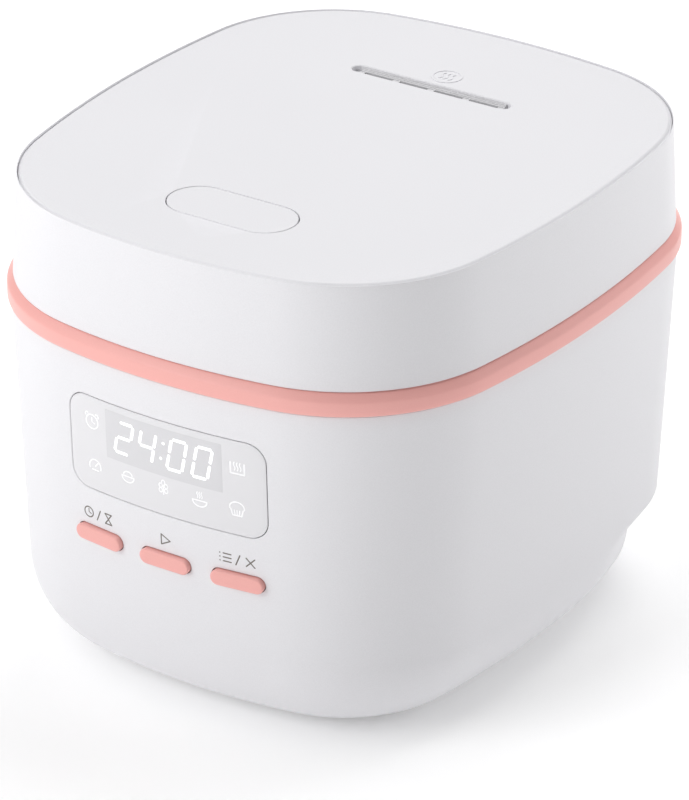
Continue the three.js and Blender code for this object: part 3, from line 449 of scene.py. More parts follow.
@dataclass(frozen=True)
class PlanOutline:
    """Bowed rectangle made of eight tangent arcs, shared by the body and the lid."""

    shift_y: float
    half_width: float = 110.0
    half_depth: float = 125.75
    side_bow: float = 456.6
    side_bow_y: float = 9.4
    front_bow: float = 262.9
    rear_bow: float = 337.3
    front_corner: float = 69.4
    rear_corner: float = 64.6
    flat_steps: int = 26
    corner_steps: int = 36

    def front_arc(self) -> Arc:
        """Returns the arc of the front."""
        return Arc(0.0, self.front_bow - self.half_depth, self.front_bow)

    def rear_arc(self) -> Arc:
        """Returns the arc of the back."""
        return Arc(0.0, self.half_depth - self.rear_bow, self.rear_bow)

    def side_arc(self) -> Arc:
        """Returns the arc of the right side."""
        return Arc(self.half_width - self.side_bow, self.side_bow_y, self.side_bow)

    @staticmethod
    def corner_arc(first: Arc, second: Arc, radius: float) -> Arc:
        """Gives the corner arc that touches two larger arcs from inside.

        Args:
            first: The first arc.
            second: The second arc.
            radius: The corner's radius.

        Returns:
            The corner arc.
        """
        near, far = first.radius - radius, second.radius - radius
        span = math.hypot(second.x - first.x, second.y - first.y)
        ux, uy = (second.x - first.x) / span, (second.y - first.y) / span
        along = (near * near - far * far + span * span) / (2 * span)
        across = math.sqrt(near * near - along * along)
        found = [
            (first.x + ux * along - uy * across * side, first.y + uy * along + ux * across * side)
            for side in (1, -1)
        ]
        x, y = max(found)
        return Arc(x, y, radius)

    def stations(self) -> list[tuple[Arc, float, int]]:
        """Gives (arc, direction, side) for each point of the outline, anticlockwise.

        Returns:
            (arc, direction, side) for each point of the outline, anticlockwise.
        """
        front, rear, side = self.front_arc(), self.rear_arc(), self.side_arc()
        near = self.corner_arc(front, side, self.front_corner)
        far = self.corner_arc(side, rear, self.rear_corner)
        runs = [
            (front, -math.pi / 2, front.bearing(near), self.flat_steps),
            (near, front.bearing(near), side.bearing(near), self.corner_steps),
            (side, side.bearing(near), side.bearing(far), self.flat_steps),
            (far, side.bearing(far), rear.bearing(far), self.corner_steps),
            (rear, rear.bearing(far), math.pi / 2, self.flat_steps),
        ]
        right = [
            (arc, start + (end - start) * i / steps, 1)
            for arc, start, end, steps in runs
            for i in range(steps)
        ]
        back = [(rear, math.pi / 2, 1)]
        left = [(arc, angle, -1) for arc, angle, _ in reversed(right[1:])]
        return right + back + left

    def ring(self, z: float, inset: float | Callable[[float, float], float]) -> list[Vector]:
        """Makes one ring of the outline.

        Args:
            z: Height in millimetres.
            inset: How far the ring stands inside the outline, or a function of x and y.

        Returns:
            The ring's points in metres.
        """
        points = []
        for arc, angle, side in self.stations():
            if callable(inset):
                drawn_in = inset(arc.x + arc.radius * math.cos(angle),
                                 arc.y + arc.radius * math.sin(angle))
            else:
                drawn_in = inset
            radius = arc.radius - drawn_in
            x = side * (arc.x + radius * math.cos(angle))
            y = arc.y + radius * math.sin(angle) + self.shift_y
            points.append(Vector((x, y, z)) * MM)
        return points


def smooth_step(low: float, high: float, value: float) -> float:
    """Returns an eased share from 0 to 1 of the way from low to high."""
    t = min(1.0, max(0.0, (value - low) / (high - low)))
    return t * t * (3 - 2 * t)


@dataclass(frozen=True)
class WallSurface:
    """Outside surface of the body wall, which leans out and rolls under at the foot."""

    plan: PlanOutline
    top_z: float = 147.8
    roll_z: float = 38.0
    roll_height: float = 36.0
    roll_width: float = 33.0
    top_inset: float = -0.9
    roll_inset: float = 3.8
    grip_depth: float = 7.5
    grip_rise: Point = (4.0, 24.0)
    grip_fall: Point = (31.0, 40.0)
    grip_edge_x: Point = (59.0, 76.0)
    grip_from_y: float = 25.0
    grip_full_y: float = 80.0

    def inset(self, z: float) -> float:
        """Returns how far the straight wall stands inside the outline at a height."""
        rise = (z - self.roll_z) / (self.top_z - self.roll_z)
        return self.roll_inset + (self.top_inset - self.roll_inset) * rise

    def grip(self, z: float, x: float, y: float) -> float:
        """Gives the depth of the finger hollows under the two lower rear corners.

        Args:
            z: Height in millimetres.
            x: Distance to the right of the middle.
            y: Plan distance towards the back.

        Returns:
            The depth in millimetres.
        """
        height = smooth_step(*self.grip_rise, z) * (1 - smooth_step(*self.grip_fall, z))
        corner = smooth_step(self.grip_from_y, self.grip_full_y, y)
        return self.grip_depth * height * corner * smooth_step(*self.grip_edge_x, abs(x))

    def skin(self, z: float) -> float:
        """Gives how far the skin stands inside the outline at a height, hollows left out.

        Args:
            z: Height in millimetres.

        Returns:
            The inset in millimetres.
        """
        if z >= self.roll_z:
            return self.inset(z)
        fall = min(1.0, (self.roll_z - z) / self.roll_height)
        return self.roll_inset + self.roll_width * (1 - math.sqrt(1 - fall * fall))

    def wall_ring(self, z: float, depth: float) -> list[Vector]:
        """Returns a ring of the straight wall, at a depth behind its surface."""
        return self.plan.ring(z, lambda x, y: self.inset(z) + depth + self.grip(z, x, y))

    def roll_ring(self, degrees: float, depth: float) -> list[Vector]:
        """Gives a ring of the rolled foot, from 0 degrees at its top to 90 at the floor.

        Args:
            degrees: Angle down the roll.
            depth: Depth behind the surface, in millimetres.

        Returns:
            The ring's points in metres.
        """
        angle = math.radians(degrees)
        z = self.roll_z - (self.roll_height - depth) * math.sin(angle)
        inset = self.roll_inset + self.roll_width - (self.roll_width - depth) * math.cos(angle)
        return self.plan.ring(z, lambda x, y: inset + self.grip(z, x, y))

    def front(self, x: float, z: float, proud: float) -> Vector:
        """Returns a point in front of the wall.

        Args:
            x: Distance to the right of the middle, in millimetres.
            z: Height in millimetres.
            proud: How far it stands out of the wall.

        Returns:
            The point in metres.
        """
        arc = self.plan.front_arc()
        radius = arc.radius - self.inset(z)
        angle = math.asin(x / radius)
        y = arc.y - (radius + proud) * math.cos(angle) + self.plan.shift_y
        return Vector(((radius + proud) * math.sin(angle), y, z)) * MM

    def rear(self, x: float, z: float, proud: float) -> Vector:
        """Gives a point behind the back wall, in the same way as at the front.

        Args:
            x: Distance to the right of the middle, in millimetres.
            z: Height in millimetres.
            proud: How far it stands out of the wall.

        Returns:
            The point in metres.
        """
        arc = self.plan.rear_arc()
        radius = arc.radius - self.skin(z)
        angle = math.asin(x / radius)
        y = arc.y + (radius + proud) * math.cos(angle) + self.plan.shift_y
        return Vector(((radius + proud) * math.sin(angle), y, z)) * MM

    def key_frame(self, x: float, z: float) -> Matrix:
        """Gives the frame of a front button, which stands square to the bowed wall.

        Args:
            x: Distance to the right of the middle, in millimetres.
            z: Height in millimetres.

        Returns:
            The button's frame.
        """
        arc = self.plan.front_arc()
        radius = arc.radius - self.inset(z)
        turn = math.asin(x / radius)
        lean = math.atan((self.roll_inset - self.top_inset) / (self.top_z - self.roll_z))
        spot = self.front(x, z, 0.0)
        return (
            Matrix.Translation(spot)
            @ Matrix.Rotation(turn, 4, "Z")
            @ Matrix.Rotation(lean, 4, "X")
        )


# --------------------------------------------------------------------------------------------
# Strokes for printed and raised signs
# --------------------------------------------------------------------------------------------


@dataclass
class Sign:
    """Flat sign made of round-ended strokes, laid on a surface."""

    place: Place
    low: float
    high: float
    shape: Shape = field(default_factory=Shape)

    def stroke(self, points: Sequence[Point], width: float, loop: bool = False) -> None:
        """Adds one stroke.

        Args:
            points: The stroke's middle line, in millimetres on the surface.
            width: Width of the stroke.
            loop: True if the line closes on itself.
        """
        half = width / 2
        stations = []
        count = len(points)
        for i, (u, v) in enumerate(points):
            before = points[i - 1] if i or loop else points[0]
            after = points[(i + 1) % count] if i < count - 1 or loop else points[-1]
            du, dv = after[0] - before[0], after[1] - before[1]
            length = math.hypot(du, dv) or 1.0
            stations.append((u, v, du / length, dv / length, half))
        if not loop:
            stations = self.capped(stations, half)
        rings = []
        for u, v, du, dv, reach in stations:
            left, right = (u - dv * reach, v + du * reach), (u + dv * reach, v - du * reach)
            rings.append([
                self.place(*left, self.low),
                self.place(*right, self.low),
                self.place(*right, self.high),
                self.place(*left, self.high),
            ])
        self.shape.loft(rings, closed=loop)

    @staticmethod
    def capped(
        stations: list[tuple[float, float, float, float, float]], half: float
    ) -> list[tuple[float, float, float, float, float]]:
        """Gives the stations of an open stroke with a round cap at each end.

        Args:
            stations: Each point of the stroke, with its direction and half width.
            half: Half the stroke's width.

        Returns:
            The stations with both caps.
        """
        turns = [math.radians(a) for a in (80, 55, 28)]
        u, v, du, dv, _ = stations[0]
        head = [
            (u - du * half * math.sin(t), v - dv * half * math.sin(t), du, dv, half * math.cos(t))
            for t in turns
        ]
        u, v, du, dv, _ = stations[-1]
        tail = [
            (u + du * half * math.sin(t), v + dv * half * math.sin(t), du, dv, half * math.cos(t))
            for t in reversed(turns)
        ]
        return head + stations + tail

    def arc(
        self, middle: Point, radius: float, start: float, end: float, width: float,
        squash: float = 1.0,
    ) -> None:
        """Adds an arc or, over a full turn, a ring.

        Args:
            middle: Centre of the arc.
            radius: Radius across.
            start: Start direction in degrees.
            end: End direction in degrees.
            width: Width of the stroke.
            squash: Height of the arc as a share of its width.
        """
        loop = abs(end - start) >= 360
        steps = max(8, int(abs(end - start) / 12))
        angles = [start + (end - start) * i / steps for i in range(steps + (0 if loop else 1))]
        points = [
            (
                middle[0] + radius * math.cos(math.radians(a)),
                middle[1] + radius * squash * math.sin(math.radians(a)),
            )
            for a in angles
        ]
        self.stroke(points, width, loop)

    def wave(self, middle: Point, height: float, swing: float, width: float) -> None:
        """Adds one upright wavy line, as of rising steam.

        Args:
            middle: The line's middle.
            height: Its height.
            swing: How far it sways to each side.
            width: The stroke's width.
        """
        steps = 14
        points = [
            (
                middle[0] + swing * math.sin(2 * math.pi * i / steps),
                middle[1] + height * (i / steps - 0.5),
            )
            for i in range(steps + 1)
        ]
        self.stroke(points, width)

    def polygon(self, corners: Sequence[Point], width: float) -> None:
        """Adds a closed outline of straight strokes."""
        for a, b in zip(corners, [*corners[1:], corners[0]]):
            self.stroke([a, b], width)

    def make(self, name: str) -> bpy.types.Object:
        """Makes the sign's object."""
        return self.shape.make(name)


# --------------------------------------------------------------------------------------------
# Finishes
# --------------------------------------------------------------------------------------------

Colour = tuple[float, float, float]
Value = bpy.types.NodeSocket | float
Paint = bpy.types.NodeSocket | Colour
DUST_COLOUR: Colour = (0.74, 0.72, 0.69)


class Kind(Enum):
    """The ways that a surface is worked."""

    MOULDED = "moulded"
    GLOSSY = "glossy"
    BRUSHED = "brushed"
    TURNED = "turned"
    SPECKLED = "speckled"
    RUBBER = "rubber"
    BOARD = "board"
    LIT = "lit"


class Effects:
    """Shader node groups shared by the finishes. Each puts out values that vary over a surface."""

    @staticmethod
    def start(name: str, inputs: dict[str, float], outputs: Sequence[str]) -> tuple:
        """Starts a node group.

        Args:
            name: The group's name.
            inputs: Names and default values of its inputs.
            outputs: Names of its outputs.

        Returns:
            The tree, its input node and its output node.
        """
        tree = bpy.data.node_groups.new(name, "ShaderNodeTree")
        for key, value in inputs.items():
            socket = tree.interface.new_socket(key, in_out="INPUT", socket_type="NodeSocketFloat")
            socket.default_value = value
        for key in outputs:
            tree.interface.new_socket(key, in_out="OUTPUT", socket_type="NodeSocketFloat")
        return tree, tree.nodes.new("NodeGroupInput"), tree.nodes.new("NodeGroupOutput")

    @staticmethod
    def math(tree: bpy.types.NodeTree, how: str, a: Value, b: Value) -> bpy.types.NodeSocket:
        """Adds a sum to a tree.

        Args:
            tree: The tree.
            how: The operation's name.
            a: A socket or a number.
            b: A socket or a number.

        Returns:
            The result's socket.
        """
        node = tree.nodes.new("ShaderNodeMath")
        node.operation = how
        for i, value in enumerate((a, b)):
            if isinstance(value, (int, float)):
                node.inputs[i].default_value = value
            else:
                tree.links.new(value, node.inputs[i])
        return node.outputs[0]

    @staticmethod
    def noise(
        tree: bpy.types.NodeTree, vector: bpy.types.NodeSocket, scale: Value,
        detail: float = 2.0,
    ) -> bpy.types.NodeSocket:
        """Adds noise to a tree and returns its value.

        Args:
            tree: The tree.
            vector: The socket of the place.
            scale: A socket or a number.
            detail: How many finer layers it has.

        Returns:
            The noise's socket.
        """
        node = tree.nodes.new("ShaderNodeTexNoise")
        node.inputs["Detail"].default_value = detail
        tree.links.new(vector, node.inputs["Vector"])
        if isinstance(scale, (int, float)):
            node.inputs["Scale"].default_value = scale
        else:
            tree.links.new(scale, node.inputs["Scale"])
        return node.outputs["Fac"]

    @classmethod
    def grain(cls) -> bpy.types.NodeTree:
        """Gives the moulded grain: a fine height and a speckle for the colour.

        Returns:
            The node group.
        """
        name = "moulded grain"
        if name in bpy.data.node_groups:
            return bpy.data.node_groups[name]
        tree, start, end = cls.start(name, {"Scale": 900.0}, ("Height", "Speckle", "Cloud"))
        place = tree.nodes.new("ShaderNodeTexCoord").outputs["Object"]
        fine = cls.noise(tree, place, start.outputs["Scale"], 3.0)
        speck = cls.noise(tree, place, cls.math(tree, "MULTIPLY", start.outputs["Scale"], 1.9), 1.0)
        cloud = cls.noise(tree, place, 14.0, 3.0)
        tree.links.new(fine, end.inputs["Height"])
        tree.links.new(speck, end.inputs["Speckle"])
        tree.links.new(cloud, end.inputs["Cloud"])
        return tree

    @classmethod
    def wear(cls) -> bpy.types.NodeTree:
        """Gives the mask of rubbed edges and corners.

        Returns:
            The node group.
        """
        name = "edge wear"
        if name in bpy.data.node_groups:
            return bpy.data.node_groups[name]
        tree, start, end = cls.start(name, {"Amount": 1.0}, ("Mask",))
        geometry = tree.nodes.new("ShaderNodeNewGeometry")
        place = tree.nodes.new("ShaderNodeTexCoord").outputs["Object"]
        edge = cls.math(tree, "SUBTRACT", geometry.outputs["Pointiness"], 0.52)
        edge = cls.math(tree, "MAXIMUM", cls.math(tree, "MULTIPLY", edge, 9.0), 0.0)
        broken = cls.noise(tree, place, 260.0, 4.0)
        worn = cls.math(tree, "MULTIPLY", edge, broken)
        mask = cls.math(tree, "MULTIPLY", worn, start.outputs["Amount"])
        mask = cls.math(tree, "MINIMUM", mask, 1.0)
        tree.links.new(mask, end.inputs["Mask"])
        return tree

    @classmethod
    def dust(cls) -> bpy.types.NodeTree:
        """Gives the mask of fine dust that settles on upward faces.

        Returns:
            The node group.
        """
        name = "settled dust"
        if name in bpy.data.node_groups:
            return bpy.data.node_groups[name]
        tree, start, end = cls.start(name, {"Amount": 0.1}, ("Mask",))
        geometry = tree.nodes.new("ShaderNodeNewGeometry")
        place = tree.nodes.new("ShaderNodeTexCoord").outputs["Object"]
        split = tree.nodes.new("ShaderNodeSeparateXYZ")
        tree.links.new(geometry.outputs["Normal"], split.inputs[0])
        upward = cls.math(tree, "MAXIMUM", split.outputs["Z"], 0.0)
        patches = cls.noise(tree, place, 22.0, 5.0)
        settled = cls.math(tree, "MULTIPLY", patches, start.outputs["Amount"])
        mask = cls.math(tree, "MULTIPLY", upward, settled)
        tree.links.new(mask, end.inputs["Mask"])
        return tree

    @classmethod
    def distance(cls) -> bpy.types.NodeTree:
        """Gives how far out a point lies, as a soft share between two distances.

        Returns:
            The node group.
        """
        name = "distance share"
        if name in bpy.data.node_groups:
            return bpy.data.node_groups[name]
        tree, start, end = cls.start(name, {"Near": 0.5, "Far": 1.5}, ("Share",))
        place = tree.nodes.new("ShaderNodeTexCoord").outputs["Object"]
        length = tree.nodes.new("ShaderNodeVectorMath")
        length.operation = "LENGTH"
        share = tree.nodes.new("ShaderNodeMapRange")
        share.interpolation_type = "SMOOTHSTEP"
        tree.links.new(place, length.inputs[0])
        tree.links.new(length.outputs["Value"], share.inputs["Value"])
        tree.links.new(start.outputs["Near"], share.inputs["From Min"])
        tree.links.new(start.outputs["Far"], share.inputs["From Max"])
        tree.links.new(share.outputs["Result"], end.inputs["Share"])
        return tree

    @classmethod
    def brushing(cls) -> bpy.types.NodeTree:
        """Gives the fine lines left by brushing along X.

        Returns:
            The node group.
        """
        name = "brushed lines"
        if name in bpy.data.node_groups:
            return bpy.data.node_groups[name]
        tree, start, end = cls.start(name, {"Scale": 1.0}, ("Lines",))
        place = tree.nodes.new("ShaderNodeTexCoord").outputs["Object"]
        stretch = tree.nodes.new("ShaderNodeVectorMath")
        stretch.operation = "MULTIPLY"
        stretch.inputs[1].default_value = (40.0, 1600.0, 1600.0)
        tree.links.new(place, stretch.inputs[0])
        lines = cls.noise(tree, stretch.outputs[0], start.outputs["Scale"])
        tree.links.new(lines, end.inputs["Lines"])
        return tree

    @classmethod
    def turning(cls) -> bpy.types.NodeTree:
        """Gives the fine rings left by turning about the upright middle axis.

        Returns:
            The node group.
        """
        name = "turned lines"
        if name in bpy.data.node_groups:
            return bpy.data.node_groups[name]
        tree, start, end = cls.start(name, {"Scale": 1.0, "Middle Y": 0.0}, ("Lines",))
        place = tree.nodes.new("ShaderNodeTexCoord").outputs["Object"]
        split = tree.nodes.new("ShaderNodeSeparateXYZ")
        tree.links.new(place, split.inputs[0])
        across = cls.math(tree, "SUBTRACT", split.outputs["Y"], start.outputs["Middle Y"])
        square = cls.math(
            tree, "ADD",
            cls.math(tree, "POWER", split.outputs["X"], 2.0),
            cls.math(tree, "MULTIPLY", across, across),
        )
        radius = cls.math(tree, "POWER", square, 0.5)
        joined = tree.nodes.new("ShaderNodeCombineXYZ")
        tree.links.new(cls.math(tree, "MULTIPLY", radius, 1500.0), joined.inputs[0])
        tree.links.new(cls.math(tree, "MULTIPLY", split.outputs["Z"], 900.0), joined.inputs[2])
        lines = cls.noise(tree, joined.outputs[0], start.outputs["Scale"])
        tree.links.new(lines, end.inputs["Lines"])
        return tree


@dataclass(frozen=True)
class Finish:
    """One material: its colours, gloss and working."""

    name: str
    kind: Kind
    colour: Colour
    shade_colour: Colour
    wear_colour: Colour
    roughness: float = 0.4
    roughness_swing: float = 0.08
    metallic: float = 0.0
    grain: float = 900.0
    relief: float = 0.02
    speckle: float = 0.5
    wear: float = 0.25
    dust: float = 0.05
    coat: float = 0.0
    coat_roughness: float = 0.1
    specular: float = 0.5
    glow: float = 0.0
    middle_y: float = 0.0

    def mix(
        self, nodes: bpy.types.Nodes, links: bpy.types.NodeLinks,
        share: bpy.types.NodeSocket, a: Paint, b: Paint,
    ) -> bpy.types.NodeSocket:
        """Mixes two colours by a share.

        Args:
            nodes: The material's nodes.
            links: The material's links.
            share: A socket with the share of the second colour.
            a: A socket or a colour.
            b: A socket or a colour.

        Returns:
            The mixed colour's socket.
        """
        node = nodes.new("ShaderNodeMix")
        node.data_type = "RGBA"
        links.new(share, node.inputs[0])
        for socket, value in ((node.inputs[6], a), (node.inputs[7], b)):
            if isinstance(value, tuple):
                socket.default_value = (*value, 1.0)
            else:
                links.new(value, socket)
        return node.outputs[2]

    def group(
        self, nodes: bpy.types.Nodes, tree: bpy.types.NodeTree, **values: float
    ) -> bpy.types.Node:
        """Places a shared effect with its own values.

        Args:
            nodes: The material's nodes.
            tree: The effect's node group.
            values: The value of each input, with _ for a space.

        Returns:
            The group's node.
        """
        node = nodes.new("ShaderNodeGroup")
        node.node_tree = tree
        for key, value in values.items():
            node.inputs[key.replace("_", " ")].default_value = value
        return node

    def spread(
        self, nodes: bpy.types.Nodes, links: bpy.types.NodeLinks,
        value: bpy.types.NodeSocket, low: float, high: float, flat: float = 0.3,
    ) -> bpy.types.NodeSocket:
        """Maps a value from the middle of its range to between low and high.

        Args:
            nodes: The material's nodes.
            links: The material's links.
            value: The socket to map.
            low: The lowest result.
            high: The highest result.
            flat: The share cut off at each end of the range.

        Returns:
            The mapped value's socket.
        """
        node = nodes.new("ShaderNodeMapRange")
        links.new(value, node.inputs["Value"])
        node.inputs["From Min"].default_value = flat
        node.inputs["From Max"].default_value = 1.0 - flat
        node.inputs["To Min"].default_value = low
        node.inputs["To Max"].default_value = high
        return node.outputs["Result"]

    def make(self) -> bpy.types.Material:
        """Makes the material, or returns the one made before.

        Returns:
            The material.
        """
        name = f"{self.name}_finish"
        if name in bpy.data.materials:
            return bpy.data.materials[name]
        material = bpy.data.materials.new(name)
        material.use_nodes = True
        nodes, links = material.node_tree.nodes, material.node_tree.links
        shader = nodes["Principled BSDF"]
        shader.inputs["Metallic"].default_value = self.metallic
        shader.inputs["Specular IOR Level"].default_value = self.specular
        shader.inputs["Coat Weight"].default_value = self.coat
        shader.inputs["Coat Roughness"].default_value = self.coat_roughness
        grain = self.group(nodes, Effects.grain(), Scale=self.grain)
        wear = self.group(nodes, Effects.wear(), Amount=self.wear)
        dust = self.group(nodes, Effects.dust(), Amount=self.dust)
        pattern, height = self.pattern(nodes, links, grain)
        colour = self.mix(nodes, links, pattern, self.colour, self.shade_colour)
        colour = self.mix(nodes, links, wear.outputs["Mask"], colour, self.wear_colour)
        colour = self.mix(nodes, links, dust.outputs["Mask"], colour, DUST_COLOUR)
        links.new(colour, shader.inputs["Base Color"])
        swing = self.roughness_swing
        rough = self.spread(
            nodes, links, grain.outputs["Cloud"], self.roughness - swing, self.roughness + swing
        )
        links.new(rough, shader.inputs["Roughness"])
        if self.glow:
            glow = self.glow_colour(nodes, links, colour)
            links.new(glow, shader.inputs["Emission Color"])
            shader.inputs["Emission Strength"].default_value = self.glow
        bump = nodes.new("ShaderNodeBump")
        bump.inputs["Strength"].default_value = 1.0
        bump.inputs["Distance"].default_value = self.relief * MM
        links.new(height, bump.inputs["Height"])
        links.new(bump.outputs["Normal"], shader.inputs["Normal"])
        return material

    def glow_colour(
        self, nodes: bpy.types.Nodes, links: bpy.types.NodeLinks, colour: bpy.types.NodeSocket
    ) -> bpy.types.NodeSocket:
        """Returns the colour of the glow, which is the surface's own."""
        return colour

    def pattern(
        self, nodes: bpy.types.Nodes, links: bpy.types.NodeLinks, grain: bpy.types.Node
    ) -> tuple[bpy.types.NodeSocket, bpy.types.NodeSocket]:
        """Picks what drives the colour and the relief.

        Args:
            nodes: The material's nodes.
            links: The material's links.
            grain: The grain effect's node.

        Returns:
            The sockets of the colour share and of the height.
        """
        fine = grain.outputs["Height"]
        if self.kind in (Kind.BRUSHED, Kind.TURNED):
            effect = Effects.brushing() if self.kind is Kind.BRUSHED else Effects.turning()
            values = {} if self.kind is Kind.BRUSHED else {"Middle_Y": self.middle_y}
            lines = self.group(nodes, effect, **values).outputs["Lines"]
            return self.spread(nodes, links, lines, 0.0, self.speckle), lines
        if self.kind is Kind.SPECKLED:
            flecks = self.spread(nodes, links, grain.outputs["Speckle"], 0.0, self.speckle, 0.36)
            return flecks, fine
        if self.kind is Kind.BOARD:
            tracks = nodes.new("ShaderNodeTexBrick")
            tracks.inputs["Scale"].default_value = 160.0
            place = nodes.new("ShaderNodeTexCoord")
            links.new(place.outputs["Object"], tracks.inputs["Vector"])
            return self.spread(nodes, links, tracks.outputs["Fac"], 0.0, self.speckle, 0.0), fine
        if self.kind in (Kind.GLOSSY, Kind.LIT):
            return self.spread(nodes, links, grain.outputs["Cloud"], 0.0, self.speckle), fine
        return self.spread(nodes, links, grain.outputs["Speckle"], 0.0, self.speckle), fine


@dataclass(frozen=True)
class LitPaper(Finish):
    """White paper of the studio floor, lit from below more strongly further out."""

    near_glow: float = 0.17
    near: float = 0.55
    far: float = 1.7

    def glow_colour(
        self, nodes: bpy.types.Nodes, links: bpy.types.NodeLinks, colour: bpy.types.NodeSocket
    ) -> bpy.types.NodeSocket:
        """Gives the paper's glow, faint near the middle and full further out.

        Args:
            nodes: The material's nodes.
            links: The material's links.
            colour: The socket of the surface's colour.

        Returns:
            The glow's socket.
        """
        share = self.group(nodes, Effects.distance(), Near=self.near, Far=self.far)
        near = (self.near_glow,) * 3
        return self.mix(nodes, links, share.outputs["Share"], near, (1.0, 1.0, 1.0))


class Finishes:
    """Every finish of the cooker, by the record's material slot or by its own name."""

    def __init__(self, middle_y: float) -> None:
        """Fills the list.

        Args:
            middle_y: The pot's axis along Y, in metres.
        """
        white = (0.812, 0.806, 0.829)
        pale = (0.776, 0.770, 0.793)
        self.table: dict[str, Finish] = {
            f.name: f
            for f in (
                Finish("white_shell", Kind.MOULDED, white, pale, (0.86, 0.852, 0.885),
                       roughness=0.42, roughness_swing=0.03, grain=1100, relief=0.012,
                       speckle=0.75, dust=0.0, specular=0.28),
                Finish("white_inner", Kind.MOULDED, (0.78, 0.78, 0.775), (0.73, 0.73, 0.725),
                       (0.86, 0.86, 0.85), roughness=0.5, grain=1400, relief=0.02, speckle=0.7,
                       dust=0.04),
                Finish("pink_plastic", Kind.MOULDED, (0.90, 0.452, 0.418), (0.87, 0.425, 0.392),
                       (0.93, 0.53, 0.50), roughness=0.36, roughness_swing=0.04, grain=1300,
                       relief=0.008, speckle=0.6, dust=0.0, specular=0.25),
                Finish("window_gloss", Kind.GLOSSY, (0.75, 0.744, 0.764), (0.77, 0.764, 0.784),
                       (0.86, 0.852, 0.875), roughness=0.16, roughness_swing=0.03, relief=0.002,
                       speckle=0.8, wear=0.1, dust=0.0, specular=0.4, coat=0.25,
                       coat_roughness=0.05),
                Finish("display_grey", Kind.GLOSSY, (0.675, 0.67, 0.69), (0.695, 0.69, 0.71),
                       (0.80, 0.793, 0.82), roughness=0.2, roughness_swing=0.03, relief=0.002,
                       speckle=0.7, wear=0.1, dust=0.0, specular=0.4, coat=0.25,
                       coat_roughness=0.06),
                Finish("lit_white", Kind.LIT, (0.98, 0.98, 0.99), (0.92, 0.93, 0.95),
                       (1.0, 1.0, 1.0), roughness=0.3, roughness_swing=0.02, relief=0.002,
                       speckle=0.5, wear=0.05, dust=0.0, glow=0.30),
                # The white signs glow a little though they are print: painted light.
                Finish("glowing_sign_white", Kind.LIT, (0.93, 0.93, 0.94), (0.88, 0.88, 0.9),
                       (0.95, 0.95, 0.95), roughness=0.3, roughness_swing=0.02, relief=0.002,
                       speckle=0.5, wear=0.05, dust=0.0, glow=0.10),
                Finish("sign_ink", Kind.MOULDED, (0.135, 0.115, 0.10), (0.17, 0.15, 0.135),
                       (0.3, 0.28, 0.26), roughness=0.45, grain=1800, relief=0.004, speckle=0.8,
                       wear=0.1, dust=0.0),
                # Grey, darker than the record's white: painted shade of the recess in the steam
                # slot.
                Finish("slot_painted_shade_grey", Kind.MOULDED, (0.66, 0.655, 0.67), (0.64, 0.635, 0.65),
                       (0.70, 0.695, 0.71), roughness=0.5, grain=1400, relief=0.004,
                       speckle=0.4, wear=0.1, dust=0.0, specular=0.3),
                # Near black, painted shade: stands in for the dark deep inside the steam ports.
                Finish("port_painted_shade", Kind.MOULDED, (0.03, 0.03, 0.032), (0.045, 0.045, 0.047),
                       (0.08, 0.08, 0.08), roughness=0.6, grain=1400, relief=0.02, speckle=0.7,
                       dust=0.0, specular=0.2),
                Finish("board_green", Kind.BOARD, (0.055, 0.16, 0.075), (0.09, 0.24, 0.11),
                       (0.3, 0.42, 0.3), roughness=0.35, relief=0.02, speckle=0.9, dust=0.1),
                Finish("black_plastic", Kind.MOULDED, (0.022, 0.022, 0.023), (0.04, 0.04, 0.042),
                       (0.12, 0.12, 0.12), roughness=0.46, grain=1500, relief=0.03, speckle=0.8,
                       dust=0.05),
                Finish("rubber_foot", Kind.RUBBER, (0.36, 0.36, 0.355), (0.30, 0.30, 0.295),
                       (0.45, 0.45, 0.44), roughness=0.8, grain=1200, relief=0.05, speckle=0.8,
                       dust=0.12),
                Finish("silicone_seal", Kind.RUBBER, (0.70, 0.69, 0.665), (0.64, 0.63, 0.60),
                       (0.78, 0.77, 0.75), roughness=0.52, grain=700, relief=0.02, speckle=0.6,
                       dust=0.03, coat=0.1, coat_roughness=0.3),
                Finish("aluminium", Kind.TURNED, (0.74, 0.745, 0.75), (0.58, 0.585, 0.59),
                       (0.88, 0.88, 0.89), roughness=0.3, metallic=1.0, relief=0.01, speckle=0.6,
                       dust=0.02, middle_y=middle_y),
                Finish("sheet_steel", Kind.BRUSHED, (0.56, 0.57, 0.58), (0.45, 0.46, 0.47),
                       (0.75, 0.75, 0.76), roughness=0.38, metallic=1.0, relief=0.02,
                       speckle=0.8, dust=0.05),
                Finish("pot_coating", Kind.SPECKLED, (0.055, 0.055, 0.06), (0.20, 0.20, 0.21),
                       (0.22, 0.22, 0.22), roughness=0.36, grain=1300, relief=0.02,
                       speckle=0.55, metallic=0.25, dust=0.02, coat=0.2, coat_roughness=0.3),
                Finish("bright_steel", Kind.BRUSHED, (0.63, 0.64, 0.65), (0.50, 0.51, 0.52),
                       (0.8, 0.8, 0.8), roughness=0.24, metallic=1.0, relief=0.008,
                       speckle=0.7, dust=0.02),
                Finish("brass_pin", Kind.BRUSHED, (0.70, 0.52, 0.22), (0.58, 0.42, 0.17),
                       (0.85, 0.68, 0.38), roughness=0.28, metallic=1.0, relief=0.01,
                       speckle=0.7, dust=0.02),
            )
        }

    def put(self, piece: bpy.types.Object, finish: str) -> None:
        """Gives a piece one finish.

        Args:
            piece: The piece or CAD node.
            finish: The finish's name.
        """
        material = self.table[finish].make()
        if piece.data.materials:
            for i in range(len(piece.data.materials)):
                piece.material_slots[i].material = material
        else:
            piece.data.materials.append(material)


# --------------------------------------------------------------------------------------------
# Sub-assemblies
# --------------------------------------------------------------------------------------------


